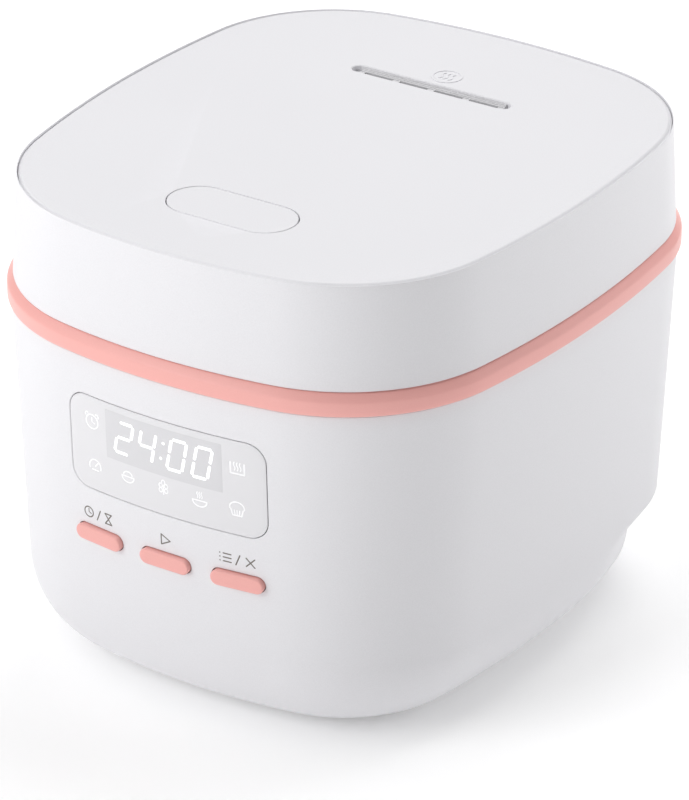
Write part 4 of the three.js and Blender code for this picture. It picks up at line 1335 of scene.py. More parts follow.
@dataclass
class Assembly:
    """What every sub-assembly shares: the outline, the wall surface and the finishes."""

    plan: PlanOutline
    wall: WallSurface
    finishes: Finishes

    def settle(
        self, piece: bpy.types.Object, body: str, slot: str, nodes: Sequence[str] = (),
        finish: str = "",
    ) -> bpy.types.Object:
        """Dresses a piece and fixes it to its body.

        Args:
            piece: The new object.
            body: The body that it moves with.
            slot: The record's material slot that it takes its finish from.
            nodes: The CAD nodes that it stands for.
            finish: The finish's own name, where it isn't the slot's.

        Returns:
            The piece.
        """
        self.finishes.put(piece, finish or slot)
        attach(piece, body)
        if nodes:
            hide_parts(*nodes)
        LOG.info("%s rides on %s", piece.name, body)
        return piece

    def row_y(self, y: float) -> float:
        """Returns a plan distance along Y in the row frame, in millimetres."""
        return y + self.plan.shift_y


@dataclass
class Keypad(Assembly):
    """The three press buttons and the signs above them."""

    width: float = 22.6
    height: float = 6.4
    z: float = 70.5
    pitch: float = 32.0
    proud: float = 2.0
    back: float = -4.0
    ease: float = 0.7
    gap: float = 0.3
    sign_z: float = 79.4
    sign_stroke: float = 0.52

    NAMES = ("time", "start", "menu")

    def at(self, index: int) -> Place:
        """Returns how the button's own frame is laid on the wall."""
        key = self.wall.key_frame((index - 1) * self.pitch, self.z)
        return lambda u, v, proud: key @ (Vector((u, -proud, v)) * MM)

    def hole(self, index: int) -> bpy.types.Object:
        """Makes the tool that cuts a button's hole, with an eased rim.

        Args:
            index: The button's number.

        Returns:
            The tool.
        """
        return rim_tool(
            f"key_hole_{index}", self.width + 2 * self.gap, self.height + 2 * self.gap,
            self.height / 2 + self.gap - 0.02, self.at(index),
        )

    def build(self) -> None:
        """Makes the three buttons."""
        cap = Pad(self.width, self.height, self.height / 2 - 0.02, self.back, self.proud,
                  self.ease, crown=0.08, rounds=8)
        for index, name in enumerate(self.NAMES):
            piece = cap.make(f"{name}_key_cap", self.at(index))
            self.settle(piece, f"{name}_key", "pink_plastic", [f"{name}_button"])
        self.signs()

    def signs(self) -> None:
        """Makes the plain signs over the buttons."""
        w, z = self.sign_stroke, self.sign_z
        sign = Sign(self.wall.front, -0.05, 0.03)
        left, right = -self.pitch, self.pitch
        self.clock(sign, (left - 5.6, z), 2.2, w)
        sign.stroke([(left - 1.4, z - 2.2), (left + 0.4, z + 2.2)], w)
        self.hourglass(sign, (left + 4.4, z), w)
        sign.polygon([(-1.8, z - 2.2), (-1.8, z + 2.2), (2.3, z)], w)
        for row in (-1.7, 0.0, 1.7):
            sign.stroke([(right - 7.6, z + row), (right - 7.5, z + row)], w)
            sign.stroke([(right - 6.1, z + row), (right - 2.8, z + row)], w)
        sign.stroke([(right - 0.8, z - 2.2), (right + 1.0, z + 2.2)], w)
        for way in (1, -1):
            sign.stroke([(right + 3.6, z - 1.8 * way), (right + 7.2, z + 1.8 * way)], w)
        self.settle(sign.make("key_signs"), "cooker_body", "display_grey", finish="sign_ink")

    @staticmethod
    def clock(sign: Sign, middle: Point, radius: float, width: float) -> None:
        """Draws a clock face with two hands.

        Args:
            sign: The sign to draw on.
            middle: The picture's middle.
            radius: The face's radius.
            width: The stroke's width.
        """
        sign.arc(middle, radius, 0, 360, width)
        x, z = middle
        sign.stroke([(x, z + radius * 0.62), (x, z), (x + radius * 0.5, z - radius * 0.2)],
                    width * 0.85)

    @staticmethod
    def hourglass(sign: Sign, middle: Point, width: float) -> None:
        """Draws an hourglass.

        Args:
            sign: The sign to draw on.
            middle: The picture's middle.
            width: The stroke's width.
        """
        x, z = middle
        sign.polygon([(x - 1.6, z + 2.2), (x + 1.6, z + 2.2), (x - 1.6, z - 2.2),
                      (x + 1.6, z - 2.2)], width)


def rim_tool(
    name: str, width: float, height: float, radius: float, place: Place,
    deep: float = -9.0, flare: float = 0.28, out: float = 8.0,
) -> bpy.types.Object:
    """Makes a cutting tool for a rounded hole whose rim is slightly eased.

    Args:
        name: The tool's name.
        width: Full width of the hole.
        height: Full height of the hole.
        radius: Corner radius of the hole.
        place: Turns (across, up, proud) in millimetres into a point.
        deep: How far the tool reaches below the surface, as a negative number.
        flare: Width of the eased rim.
        out: How far the tool reaches above the surface.

    Returns:
        The tool.
    """
    rows = [(0.0, deep), (0.0, -flare), (2 * flare, flare), (2 * flare, out)]
    flats = (width - 2 * radius, height - 2 * radius)
    rings = [
        [place(u, v, proud) for u, v in
         rounded_outline(width + 2 * grow, height + 2 * grow, radius + grow, flats)]
        for grow, proud in rows
    ]
    return Shape().loft(rings).make(name)


@dataclass
class DisplayPanel(Assembly):
    """The glossy window with its clock field, digits and plain pictograms."""

    width: float = 90.0
    height: float = 40.6
    z: float = 110.8
    corner: float = 8.0
    gap: float = 0.3
    thickness: float = 2.2
    ease: float = 0.35
    field_width: float = 53.4
    field_height: float = 20.9
    field_z: float = 117.9
    digit_width: float = 8.2
    digit_height: float = 14.6
    digit_z: float = 110.8
    digit_stroke: float = 1.35
    digit_slant: float = 0.21
    digit_gap: float = 1.05
    icon_stroke: float = 0.56

    SEGMENTS = {
        "2": "abged",
        "4": "fgbc",
        "0": "abcdef",
    }
    CLOCK = (("2", -23.4), ("4", -12.6), ("0", 1.3), ("0", 12.5))

    def at(self, x: float, z: float, proud: float) -> Vector:
        """Returns a point over the middle of the window."""
        return self.wall.front(x, z + self.z, proud)

    def hole(self) -> bpy.types.Object:
        """Makes the tool that cuts the window's hole."""
        return rim_tool("window_hole", self.width + 2 * self.gap, self.height + 2 * self.gap,
                        self.corner + self.gap, self.at)

    def build(self) -> None:
        """Makes the window and everything printed on it."""
        pane = Pad(self.width, self.height, self.corner, -self.thickness, 0.0, self.ease)
        self.settle(pane.make("window_pane", self.at), "cooker_body", "window_gloss",
                    ["display_window"])
        glass = Pad(self.field_width, self.field_height, 0.4, -0.05, 0.02, 0.01)
        self.settle(
            glass.make("clock_field", lambda x, z, p: self.wall.front(x, z + self.field_z, p)),
            "cooker_body", "display_grey",
        )
        self.digits()
        self.pictograms()

    def digits(self) -> None:
        """Makes the lit digits of the clock."""
        sign = Sign(self.wall.front, 0.0, 0.05)
        half = self.digit_stroke / 2
        left, right = half, self.digit_width - half
        low, high = half, self.digit_height - half
        middle = self.digit_height / 2
        gap = self.digit_gap
        lines = {
            "a": ((left + gap, high), (right - gap, high)),
            "b": ((right, high - gap), (right, middle + gap)),
            "c": ((right, middle - gap), (right, low + gap)),
            "d": ((left + gap, low), (right - gap, low)),
            "e": ((left, middle - gap), (left, low + gap)),
            "f": ((left, high - gap), (left, middle + gap)),
            "g": ((left + gap, middle), (right - gap, middle)),
        }
        for digit, x in self.CLOCK:
            for name in self.SEGMENTS[digit]:
                self.bar(sign, [(x + u, v) for u, v in lines[name]], self.digit_stroke)
        for z in (4.2, 11.0):
            self.bar(sign, [(-1.35, z), (-1.3, z)], self.digit_stroke)
        self.settle(sign.make("clock_digits"), "cooker_body", "display_grey", finish="lit_white")

    def bar(self, sign: Sign, ends: Sequence[Point], width: float) -> None:
        """Adds one slanted bar of a digit."""
        sign.stroke([(u + v * self.digit_slant, v + self.digit_z) for u, v in ends], width)

    def pictograms(self) -> None:
        """Makes the plain pictograms round the clock."""
        w = self.icon_stroke
        sign = Sign(self.wall.front, -0.05, 0.03)
        self.alarm(sign, (-33.6, 120.4), w)
        self.tray(sign, (33.2, 119.6), w)
        self.gauge(sign, (-33.0, 101.6), w)
        self.heaped_bowl(sign, (-16.6, 102.0), w)
        self.ear(sign, (0.2, 102.6), w)
        self.steaming_bowl(sign, (16.5, 101.8), w)
        self.cupcake(sign, (32.5, 102.0), w)
        # The pictograms glow faintly as painted light.
        self.settle(sign.make("window_signs"), "cooker_body", "display_grey", finish="glowing_sign_white")

    @staticmethod
    def alarm(sign: Sign, middle: Point, w: float) -> None:
        """Draws an alarm clock.

        Args:
            sign: The sign to draw on.
            middle: The picture's middle.
            w: The stroke's width.
        """
        x, z = middle
        sign.arc(middle, 3.0, 0, 360, w)
        sign.arc((x - 2.3, z + 2.6), 1.0, 70, 200, w)
        sign.arc((x + 2.3, z + 2.6), 1.0, -20, 110, w)
        sign.stroke([(x, z + 1.7), (x, z), (x + 1.3, z - 0.6)], w * 0.8)

    @staticmethod
    def tray(sign: Sign, middle: Point, w: float) -> None:
        """Draws a warm tray with rising heat.

        Args:
            sign: The sign to draw on.
            middle: The picture's middle.
            w: The stroke's width.
        """
        x, z = middle
        sign.stroke([(x - 2.9, z + 2.2), (x - 2.9, z - 2.4)], w * 1.2)
        sign.stroke([(x - 2.9, z - 2.4), (x + 2.9, z - 2.4)], w * 1.2)
        sign.stroke([(x + 2.9, z - 2.4), (x + 2.9, z + 2.2)], w * 1.2)
        for step in (-1.25, 0.0, 1.25):
            sign.wave((x + step, z + 0.7), 3.4, 0.3, w * 0.85)

    @staticmethod
    def gauge(sign: Sign, middle: Point, w: float) -> None:
        """Draws a quick-cook gauge.

        Args:
            sign: The sign to draw on.
            middle: The picture's middle.
            w: The stroke's width.
        """
        x, z = middle
        sign.arc((x, z - 0.6), 2.9, -20, 200, w)
        sign.stroke([(x, z - 0.6), (x + 1.5, z + 1.1)], w)
        sign.stroke([(x - 1.6, z - 2.2), (x + 1.6, z - 2.2)], w)

    @staticmethod
    def heaped_bowl(sign: Sign, middle: Point, w: float) -> None:
        """Draws a bowl with a heap of rice.

        Args:
            sign: The sign to draw on.
            middle: The picture's middle.
            w: The stroke's width.
        """
        x, z = middle
        sign.arc((x, z), 2.9, 180, 360, w, 0.85)
        sign.stroke([(x - 2.9, z), (x + 2.9, z)], w)
        sign.arc((x, z + 0.5), 2.1, 10, 170, w, 0.8)

    @staticmethod
    def ear(sign: Sign, middle: Point, w: float) -> None:
        """Draws an ear of grain.

        Args:
            sign: The sign to draw on.
            middle: The picture's middle.
            w: The stroke's width.
        """
        x, z = middle
        sign.stroke([(x, z - 3.0), (x, z + 0.4)], w)
        sign.arc((x, z + 2.0), 0.75, 0, 360, w * 0.8, 1.5)
        for row in (-1.4, 0.6):
            for side in (-1, 1):
                sign.arc((x + side * 1.25, z + row), 0.75, 0, 360, w * 0.8, 1.25)

    @staticmethod
    def steaming_bowl(sign: Sign, middle: Point, w: float) -> None:
        """Draws a bowl of soup with steam.

        Args:
            sign: The sign to draw on.
            middle: The picture's middle.
            w: The stroke's width.
        """
        x, z = middle
        sign.arc((x, z - 0.4), 3.2, 180, 360, w * 1.1, 0.8)
        sign.stroke([(x - 3.2, z - 0.4), (x + 3.2, z - 0.4)], w)
        for step in (-0.95, 0.0, 0.95):
            sign.wave((x + step, z + 2.0), 2.6, 0.22, w * 0.75)

    @staticmethod
    def cupcake(sign: Sign, middle: Point, w: float) -> None:
        """Draws a small cake in its case.

        Args:
            sign: The sign to draw on.
            middle: The picture's middle.
            w: The stroke's width.
        """
        x, z = middle
        sign.arc((x, z + 0.4), 3.1, -12, 192, w, 0.8)
        sign.stroke([(x - 2.6, z - 0.4), (x - 1.9, z - 3.0)], w)
        sign.stroke([(x + 2.6, z - 0.4), (x + 1.9, z - 3.0)], w)
        sign.stroke([(x - 1.9, z - 3.0), (x + 1.9, z - 3.0)], w)
        for step in (-0.9, 0.0, 0.9):
            sign.stroke([(x + step * 1.25, z - 0.7), (x + step, z - 2.6)], w * 0.75)


@dataclass
class BodyWall(Assembly):
    """The outer wall with its openings, and the pink band on top of it."""

    keypad: Keypad
    panel: DisplayPanel
    thickness: float = 2.6
    roll_end: float = 80.0
    edge: float = 0.8
    rear_width: float = 116.0
    rear_low: float = 30.0
    rear_high: float = 144.0
    rear_corner: float = 10.0
    gap: float = 0.3
    band_low: float = 148.1
    band_high: float = 157.0
    band_proud: float = 2.4
    band_crease: float = 153.9
    band_inner: float = 4.5

    def build(self) -> None:
        """Makes the wall and the band."""
        wall = self.wall
        steps = 48
        rings = [
            wall.roll_ring(self.roll_end * (1 - i / steps), 0.0) for i in range(steps)
        ]
        top = wall.top_z - self.edge
        fine = [wall.roll_z + i * 0.5 for i in range(8)]
        coarse = [wall.roll_z + 4.0 + (top - wall.roll_z - 4.0) * i / 16 for i in range(17)]
        rings += [wall.wall_ring(z, 0.0) for z in fine + coarse]
        for degrees in (30, 60, 90):
            t = math.radians(degrees)
            rings.append(wall.wall_ring(top + self.edge * math.sin(t),
                                        self.edge * (1 - math.cos(t))))
        heights = (wall.top_z, 110.0, 70.0, 42.0, 40.0, wall.roll_z)
        inner = [wall.wall_ring(z, self.thickness) for z in heights]
        inner += [wall.roll_ring(i * 2.5, self.thickness) for i in range(1, 33)]
        shell = Shape().loft([*rings, *inner], closed=True).make("body_wall")
        tools = [self.panel.hole(), self.rear_hole()]
        tools += [self.keypad.hole(index) for index in range(3)]
        carve(shell, tools)
        self.settle(shell, "cooker_body", "white_shell", ["body_shell"])
        self.band()

    def rear_hole(self) -> bpy.types.Object:
        """Makes the tool that cuts the opening for the rear cover.

        Returns:
            The tool.
        """
        middle = (self.rear_low + self.rear_high) / 2
        return rim_tool(
            "rear_hole", self.rear_width + 2 * self.gap,
            self.rear_high - self.rear_low + 2 * self.gap, self.rear_corner + self.gap,
            lambda x, z, proud: self.wall.rear(x, z + middle, proud),
        )

    def band(self) -> None:
        """Makes the pink band, with an eased foot and a crease under its sloping top."""
        proud, low, crease, high = self.band_proud, self.band_low, self.band_crease, self.band_high
        profile = [(low, -proud + 0.9), (low + 0.12, -proud + 0.5), (low + 0.4, -proud + 0.14),
                   (low + 0.9, -proud), (crease - 0.5, -proud), (crease, -proud + 0.04),
                   (crease + 0.35, -proud + 0.18), (crease + 0.8, -proud + 0.5),
                   (high - 1.1, -0.55), (high - 0.5, -0.02), (high - 0.15, 0.45), (high, 0.9),
                   (high, self.band_inner), (low, self.band_inner)]
        rings = [self.plan.ring(z, inset) for z, inset in profile]
        piece = Shape().loft(rings, closed=True).make("pink_band", 45)
        self.settle(piece, "cooker_body", "pink_plastic", ["deco_band"])


@dataclass
class RearCover(Assembly):
    """The cover let into the back, with its vent slots, inlet hole and hinge lugs."""

    width: float = 116.0
    low: float = 30.0
    high: float = 144.0
    corner: float = 10.0
    thickness: float = 2.6
    slot_length: float = 44.0
    slot_height: float = 2.6
    slot_z: float = 84.0
    slot_pitch: float = 7.0
    inlet_z: float = 50.0
    inlet_width: float = 27.6
    inlet_height: float = 20.6
    hinge_y: float = 132.6
    hinge_z: float = 152.0
    knuckle: float = 4.2
    bore: float = 2.3
    lug_inner: float = 13.8
    lug_outer: float = 24.0

    def build(self) -> None:
        """Makes the cover plate and the two lugs."""
        middle = (self.low + self.high) / 2
        plate = Pad(self.width, self.high - self.low, self.corner, -self.thickness, 0.0, 0.5,
                    rounds=18)
        cover = plate.make("rear_cover_plate", lambda x, z, p: self.wall.rear(x, z + middle, p))
        tools = [
            rim_tool(f"vent_{row}", self.slot_length, self.slot_height, self.slot_height / 2 - 0.02,
                     lambda x, z, p, r=row: self.wall.rear(
                         x, z + self.slot_z + r * self.slot_pitch, p), deep=-5.0)
            for row in range(4)
        ]
        tools.append(rim_tool(
            "inlet_hole", self.inlet_width, self.inlet_height, 0.6,
            lambda x, z, p: self.wall.rear(x, z + self.inlet_z, p), deep=-5.0,
        ))
        carve(cover, tools)
        self.settle(cover, "cooker_body", "white_inner", ["rear_cover"])
        for side, name in ((-1, "left"), (1, "right")):
            ends = sorted((side * self.lug_inner, side * self.lug_outer))
            lug = across_piece(f"hinge_lug_{name}", self.lug_outline(), *ends)
            carve(lug, [self.pin_tool(f"lug_bore_{name}")])
            soften(lug, 0.5, 3)
            self.settle(lug, "cooker_body", "white_inner", ["rear_cover"])

    def lug_outline(self) -> list[Point]:
        """Gives the side outline of a lug.

        Returns:
            The points.
        """
        far = self.hinge_y + self.knuckle
        points = [(122.4, 124.0), (126.0, 124.0), (far, 143.0)]
        steps = 24
        for i in range(steps + 1):
            angle = math.pi * i / steps
            points.append((self.hinge_y + self.knuckle * math.cos(angle),
                           self.hinge_z + self.knuckle * math.sin(angle)))
        points += [(self.hinge_y - self.knuckle, 147.2), (127.2, 143.8), (122.4, 143.0)]
        return [(self.row_y(y), z) for y, z in points]

    def pin_tool(self, name: str) -> bpy.types.Object:
        """Makes the tool that bores a hole for the hinge pin.

        Args:
            name: The tool's name.

        Returns:
            The tool.
        """
        steps = 48
        outline = [
            (self.row_y(self.hinge_y) + self.bore * math.cos(2 * math.pi * i / steps),
             self.hinge_z + self.bore * math.sin(2 * math.pi * i / steps))
            for i in range(steps)
        ]
        return across_piece(name, outline, -30.0, 30.0)


@dataclass
class Lid(Assembly):
    """The lid's outside: side wall, hinge arm, top panel, steam slot, release button and steam
    mark.
    """

    rear: RearCover
    low: float = 157.3
    top: float = 200.0
    top_inset: float = 2.3
    thickness: float = 2.6
    panel_low: float = 196.7
    panel_inset: float = 3.12
    roll_width: float = 16.0
    roll_drop: float = 0.3
    release_y: float = -77.0
    release_length: float = 55.0
    release_width: float = 25.2
    vent_y: float = 63.0
    vent_length: float = 73.7
    vent_width: float = 6.5
    port_length: float = 13.3
    comb_ridges: int = 3
    comb_below: float = 0.8
    comb_drop: float = 0.75
    comb_groove: float = 0.6
    comb_end: float = 0.6
    arm_half: float = 13.4

    def inset(self, z: float) -> float:
        """Returns how far the side wall stands inside the outline at a height."""
        return self.top_inset * (z - self.low) / (self.top - self.low)

    def build(self) -> None:
        """Makes the lid's outside."""
        self.side_wall()
        self.hinge_arm()
        self.top_panel()
        self.release()
        self.steam_tray()
        self.steam_mark()

    def side_wall(self) -> None:
        """Makes the side wall, whose top edge meets the panel at a fine gap."""
        edge = self.top - 0.62
        profile = [(self.low, 0.55), (self.low + 0.15, 0.2), (self.low + 0.5, 0.02)]
        steps = 10
        profile += [
            (self.low + 1 + (edge - self.low - 1) * i / steps,
             self.inset(self.low + 1 + (edge - self.low - 1) * i / steps))
            for i in range(steps + 1)
        ]
        for degrees in (25, 50, 75, 90):
            t = math.radians(degrees)
            profile.append((edge + 0.35 * math.sin(t),
                            self.inset(edge) + 0.35 * (1 - math.cos(t))))
        profile += [(edge + 0.35, self.inset(edge) + 0.42), (edge - 0.5, 2.78),
                    (self.panel_low - 0.4, 2.8),
                    (self.panel_low - 0.4, 7.0), (self.panel_low - 2.2, 7.0),
                    (192.0, self.inset(192.0) + self.thickness), (self.low, self.thickness)]
        rings = [self.plan.ring(z, inset) for z, inset in profile]
        piece = Shape().loft(rings, closed=True).make("lid_side_wall", 40)
        self.settle(piece, "lid", "white_shell", ["lid_skirt"])

    def hinge_arm(self) -> None:
        """Makes the arm that joins the lid to the hinge pin."""
        rear = self.rear
        near, far = rear.hinge_y - rear.knuckle, rear.hinge_y + rear.knuckle
        points = [(123.6, 178.0), (123.6, 160.0), (near, 158.0)]
        steps = 24
        for i in range(steps + 1):
            angle = math.pi + math.pi * i / steps
            points.append((rear.hinge_y + rear.knuckle * math.cos(angle),
                           rear.hinge_z + rear.knuckle * math.sin(angle)))
        points += [(far, 158.0), (far - 0.4, 162.0), (130.6, 172.0), (128.4, 177.0),
                   (126.4, 178.0)]
        outline = [(self.row_y(y), z) for y, z in points]
        arm = across_piece("hinge_arm", outline, -self.arm_half, self.arm_half)
        carve(arm, [rear.pin_tool("arm_bore")])
        soften(arm, 0.7, 3)
        self.settle(arm, "lid", "white_shell", ["lid_skirt"])

    def surface_z(self, inset: float) -> float:
        """Returns the height of the panel, which rolls down gently towards its edge."""
        share = min(1.0, max(0.0, 1 - (inset - self.panel_inset) / self.roll_width))
        return self.top - 0.02 - self.roll_drop * share * share

    def top_panel(self) -> None:
        """Makes the top panel: a bright rim, a shallow line inside it and a soft roll."""
        rim = self.panel_inset
        profile = [(self.panel_low, rim), (self.top - 1.15, rim), (self.top - 1.12, rim + 0.45),
                   (self.top - 0.52, rim + 0.95), (self.top - 0.38, rim + 1.2),
                   (self.surface_z(rim + 1.5) + 0.05, rim + 1.5),
                   (self.surface_z(rim + 1.9) + 0.05, rim + 1.9),
                   (self.surface_z(rim + 2.5), rim + 2.5)]
        profile += [(self.surface_z(rim + 3.4 + i * 1.3), rim + 3.4 + i * 1.3) for i in range(11)]
        rings = [self.plan.ring(z, inset) for z, inset in profile]
        panel = Shape().loft(rings).make("lid_panel", 20)
        release = rim_tool("release_hole", self.release_length + 1.0, self.release_width + 1.0,
                           self.release_width / 2 + 0.48, self.on_top(self.release_y), deep=-6.0,
                           flare=0.15)
        vent = rim_tool("vent_hole", self.vent_length, self.vent_width, self.vent_width / 2 - 0.02,
                        self.on_top(self.vent_y), deep=-6.0, flare=0.35)
        carve(panel, [release, vent], 20)
        self.settle(panel, "lid", "white_shell", ["lid_top_panel"])

    def on_top(self, y: float, height: float | None = None) -> Place:
        """Returns how the top surface is reached round a middle."""
        z = self.surface_z(100.0) if height is None else height
        return lambda u, v, proud: Vector((u, self.row_y(y) + v, z + proud)) * MM

    def release(self) -> None:
        """Makes the release button's cap, which rides on its own body."""
        cap = Pad(self.release_length, self.release_width, self.release_width / 2 - 0.02, -5.0,
                  0.0, 0.3, rounds=10)
        piece = cap.make("release_cap", self.on_top(self.release_y))
        self.settle(piece, "release_key", "white_shell", ["release_button"])

    def steam_tray(self) -> None:
        """Makes the tray in the steam slot: fine ridges on the far side, then ports; the ridges and
        floor are painted grey and the block under the ports near black, as shade.
        """
        half = self.vent_width / 2 - 0.1
        y = self.row_y(self.vent_y)
        base = block("steam_tray", (-self.vent_length / 2 - 2.0, y - half - 5.0, 184.0),
                     (self.vent_length / 2 + 2.0, y + half + 5.0, self.panel_low - 0.3))
        carve(base, self.ports("tray_port", half))
        # The block under the ports is painted near black as the shade seen through them.
        self.settle(base, "lid", "white_inner", ["vent_insert"], "port_painted_shade")
        floor = Pad(self.vent_length - 0.2, 2 * half, half - 0.02, -3.1, -2.3, 0.1, rounds=4)
        plate = floor.make("steam_floor", self.on_top(self.vent_y, self.top))
        carve(plate, self.ports("floor_port", half), 25)
        # The slot floor is painted grey as recess shade.
        self.settle(plate, "lid", "white_inner", finish="slot_painted_shade_grey")
        foot = self.top - 2.25
        section = [(-half, foot), (half, foot)]
        rise = self.comb_drop / self.comb_ridges
        pitch = (half - self.comb_end) / self.comb_ridges
        for i in range(self.comb_ridges):
            v, z = half - i * pitch, self.top - self.comb_below - i * rise
            section += [(v, z), (v - pitch * 0.6, z), (v - pitch * 0.68, z - self.comb_groove),
                        (v - pitch * 0.98, z - self.comb_groove)]
        section += [(self.comb_end, self.top - self.comb_below - self.comb_drop),
                    (-half, self.top - self.comb_below - self.comb_drop)]
        reach = self.vent_length / 2 - self.vent_width / 2
        comb = across_piece("steam_comb", [(y + v, z) for v, z in section], -reach, reach)
        carve(comb, self.ports("comb_port", half), 25)
        # The ridges are painted grey as recess shade.
        self.settle(comb, "lid", "white_inner", finish="slot_painted_shade_grey")

    def ports(self, name: str, half: float) -> list[bpy.types.Object]:
        """Makes the tools that cut the four ports along the near side of the slot.

        Args:
            name: Start of the tools' names.
            half: Half of the tray's width.

        Returns:
            The tools.
        """
        y = self.row_y(self.vent_y)
        return [
            block(f"{name}_{i}", (middle - self.port_length / 2, y - half + 0.06, 170.0),
                  (middle + self.port_length / 2, y + self.comb_end, 205.0))
            for i, middle in enumerate((-24.6, -8.2, 8.2, 24.6))
        ]

    def steam_mark(self) -> None:
        """Makes the raised mark of rising steam beside the slot."""
        sign = Sign(self.on_top(self.vent_y + 12.0), -0.05, 0.3)
        sign.arc((0.0, 0.0), 6.0, 0, 360, 0.8)
        for step in (-2.2, 0.0, 2.2):
            sign.wave((step, 0.0), 5.4, 0.6, 0.75)
        self.settle(sign.make("steam_mark"), "lid", "white_shell")


@dataclass
class Chamber(Assembly):
    """What shows when the lid is open: collar, pot, lid frame, inner plate, seal and valve."""

    collar_inset: float = 4.8
    collar_low: float = 146.1
    collar_top: float = 156.6
    bore: float = 92.4
    ledge: float = 88.9
    ledge_z: float = 148.7
    pot_radius: float = 83.6
    pot_wall: float = 1.6
    pot_floor: float = 50.0
    pot_corner: float = 19.0
    pot_flange: float = 89.6
    pot_flange_z: float = 150.6
    pot_top: float = 152.0
    frame_low: float = 157.6
    frame_high: float = 160.4
    frame_inset: float = 5.6
    frame_bore: float = 78.0
    plate_radius: float = 83.9
    plate_low: float = 155.8
    plate_high: float = 157.0
    vent_y: float = 63.0

    def middle(self) -> Point:
        """Returns the pot's axis in plan, in millimetres in the row frame."""
        return (0.0, self.plan.shift_y)

    def build(self) -> None:
        """Makes the pieces."""
        self.collar()
        self.pot()
        self.lid_frame()
        self.lid_plate()
        self.seal()
        self.valve()

    def collar(self) -> None:
        """Makes the collar, with its sloping mouth and the pocket for the hook."""
        inset, top = self.collar_inset, self.collar_top
        profile = [(self.collar_low, inset), (top - 0.8, inset), (top - 0.25, inset + 0.25),
                   (top, inset + 0.8)]
        ring = Shape().loft([self.plan.ring(z, i) for z, i in profile]).make("collar", 30)
        mouth = [(0.02, 140.0), (self.ledge, 140.0), (self.ledge, self.ledge_z),
                 (self.bore, self.ledge_z), (self.bore, 152.4), (self.bore + 0.8, 153.6),
                 (self.bore + 7.4, top - 0.5), (self.bore + 9.4, top + 0.1),
                 (self.bore + 9.4, 162.0), (0.02, 162.0)]
        y = self.plan.shift_y
        tools = [
            turned("mouth", mouth, self.middle(), loop=False),
            block("pocket", (-15.0, -113.1 + y, 140.0), (15.0, -102.2 + y, 162.0)),
            block("under_lip", (-14.9, -116.0 + y, 140.0), (14.9, -110.0 + y, 153.4)),
        ]
        carve(ring, tools, 30)
        self.settle(ring, "cooker_body", "white_inner", ["collar_ring"])

    def pot(self) -> None:
        """Makes the lift-out pot and the level marks inside it."""
        outer, wall, floor, corner = self.pot_radius, self.pot_wall, self.pot_floor, self.pot_corner
        profile = [(0.02, floor)]
        steps = 12
        for i in range(steps + 1):
            t = math.pi / 2 * i / steps
            profile.append((outer - corner * (1 - math.sin(t)), floor + corner * (1 - math.cos(t))))
        profile += [(outer, self.pot_flange_z - 1.2), (outer + 0.5, self.pot_flange_z - 0.3),
                    (outer + 1.4, self.pot_flange_z), (self.pot_flange - 0.4, self.pot_flange_z),
                    (self.pot_flange, self.pot_flange_z + 0.4),
                    (self.pot_flange, self.pot_top - 0.4),
                    (self.pot_flange - 0.4, self.pot_top), (outer - wall + 1.6, self.pot_top),
                    (outer - wall + 0.5, self.pot_top - 0.4), (outer - wall, self.pot_top - 1.5)]
        inner = corner - wall
        for i in range(steps, -1, -1):
            t = math.pi / 2 * i / steps
            profile.append((outer - wall - inner * (1 - math.sin(t)),
                            floor + wall + inner * (1 - math.cos(t))))
        profile.append((0.02, floor + wall))
        pot = turned("pot", profile, self.middle(), 160, loop=False)
        self.settle(pot, "cooker_body", "pot_coating", ["inner_pot"])
        reach = outer - wall

        def inside(u: float, v: float, proud: float) -> Vector:
            """Gives a point on the pot's inner wall.

            Args:
                u: Distance along the wall.
                v: Height in millimetres.
                proud: How far it stands out of the wall.

            Returns:
                The point in metres.
            """
            angle = math.pi / 2 + u / reach
            x = (reach - proud) * math.cos(angle)
            y = (reach - proud) * math.sin(angle) + self.plan.shift_y
            return Vector((x, y, v)) * MM

        sign = Sign(inside, -0.05, 0.06)
        for row in range(9):
            length = 9.0 if row % 2 == 0 else 5.0
            z = 72.0 + row * 7.0
            sign.stroke([(-length / 2 + length * i / 4, z) for i in range(5)], 0.5)
        # The level marks glow faintly as painted light.
        self.settle(sign.make("pot_level_marks"), "cooker_body", "pot_coating",
                    finish="glowing_sign_white")

    def lid_frame(self) -> None:
        """Makes the ring that closes the lid from below, with the slot for the hook."""
        inset = self.frame_inset
        profile = [(self.frame_low, inset + 0.5), (self.frame_low + 0.5, inset),
                   (self.frame_high, inset)]
        ring = Shape().loft([self.plan.ring(z, i) for z, i in profile]).make("lid_frame", 30)
        bore = [(0.02, 150.0), (self.frame_bore + 0.5, 150.0),
                (self.frame_bore + 0.5, self.frame_low), (self.frame_bore, self.frame_low + 0.5),
                (self.frame_bore, 165.0), (0.02, 165.0)]
        y = self.plan.shift_y
        tools = [turned("frame_bore", bore, self.middle(), loop=False),
                 block("hook_slot", (-13.0, -114.0 + y, 150.0), (13.0, -102.0 + y, 165.0))]
        carve(ring, tools, 30)
        self.settle(ring, "lid", "white_inner")

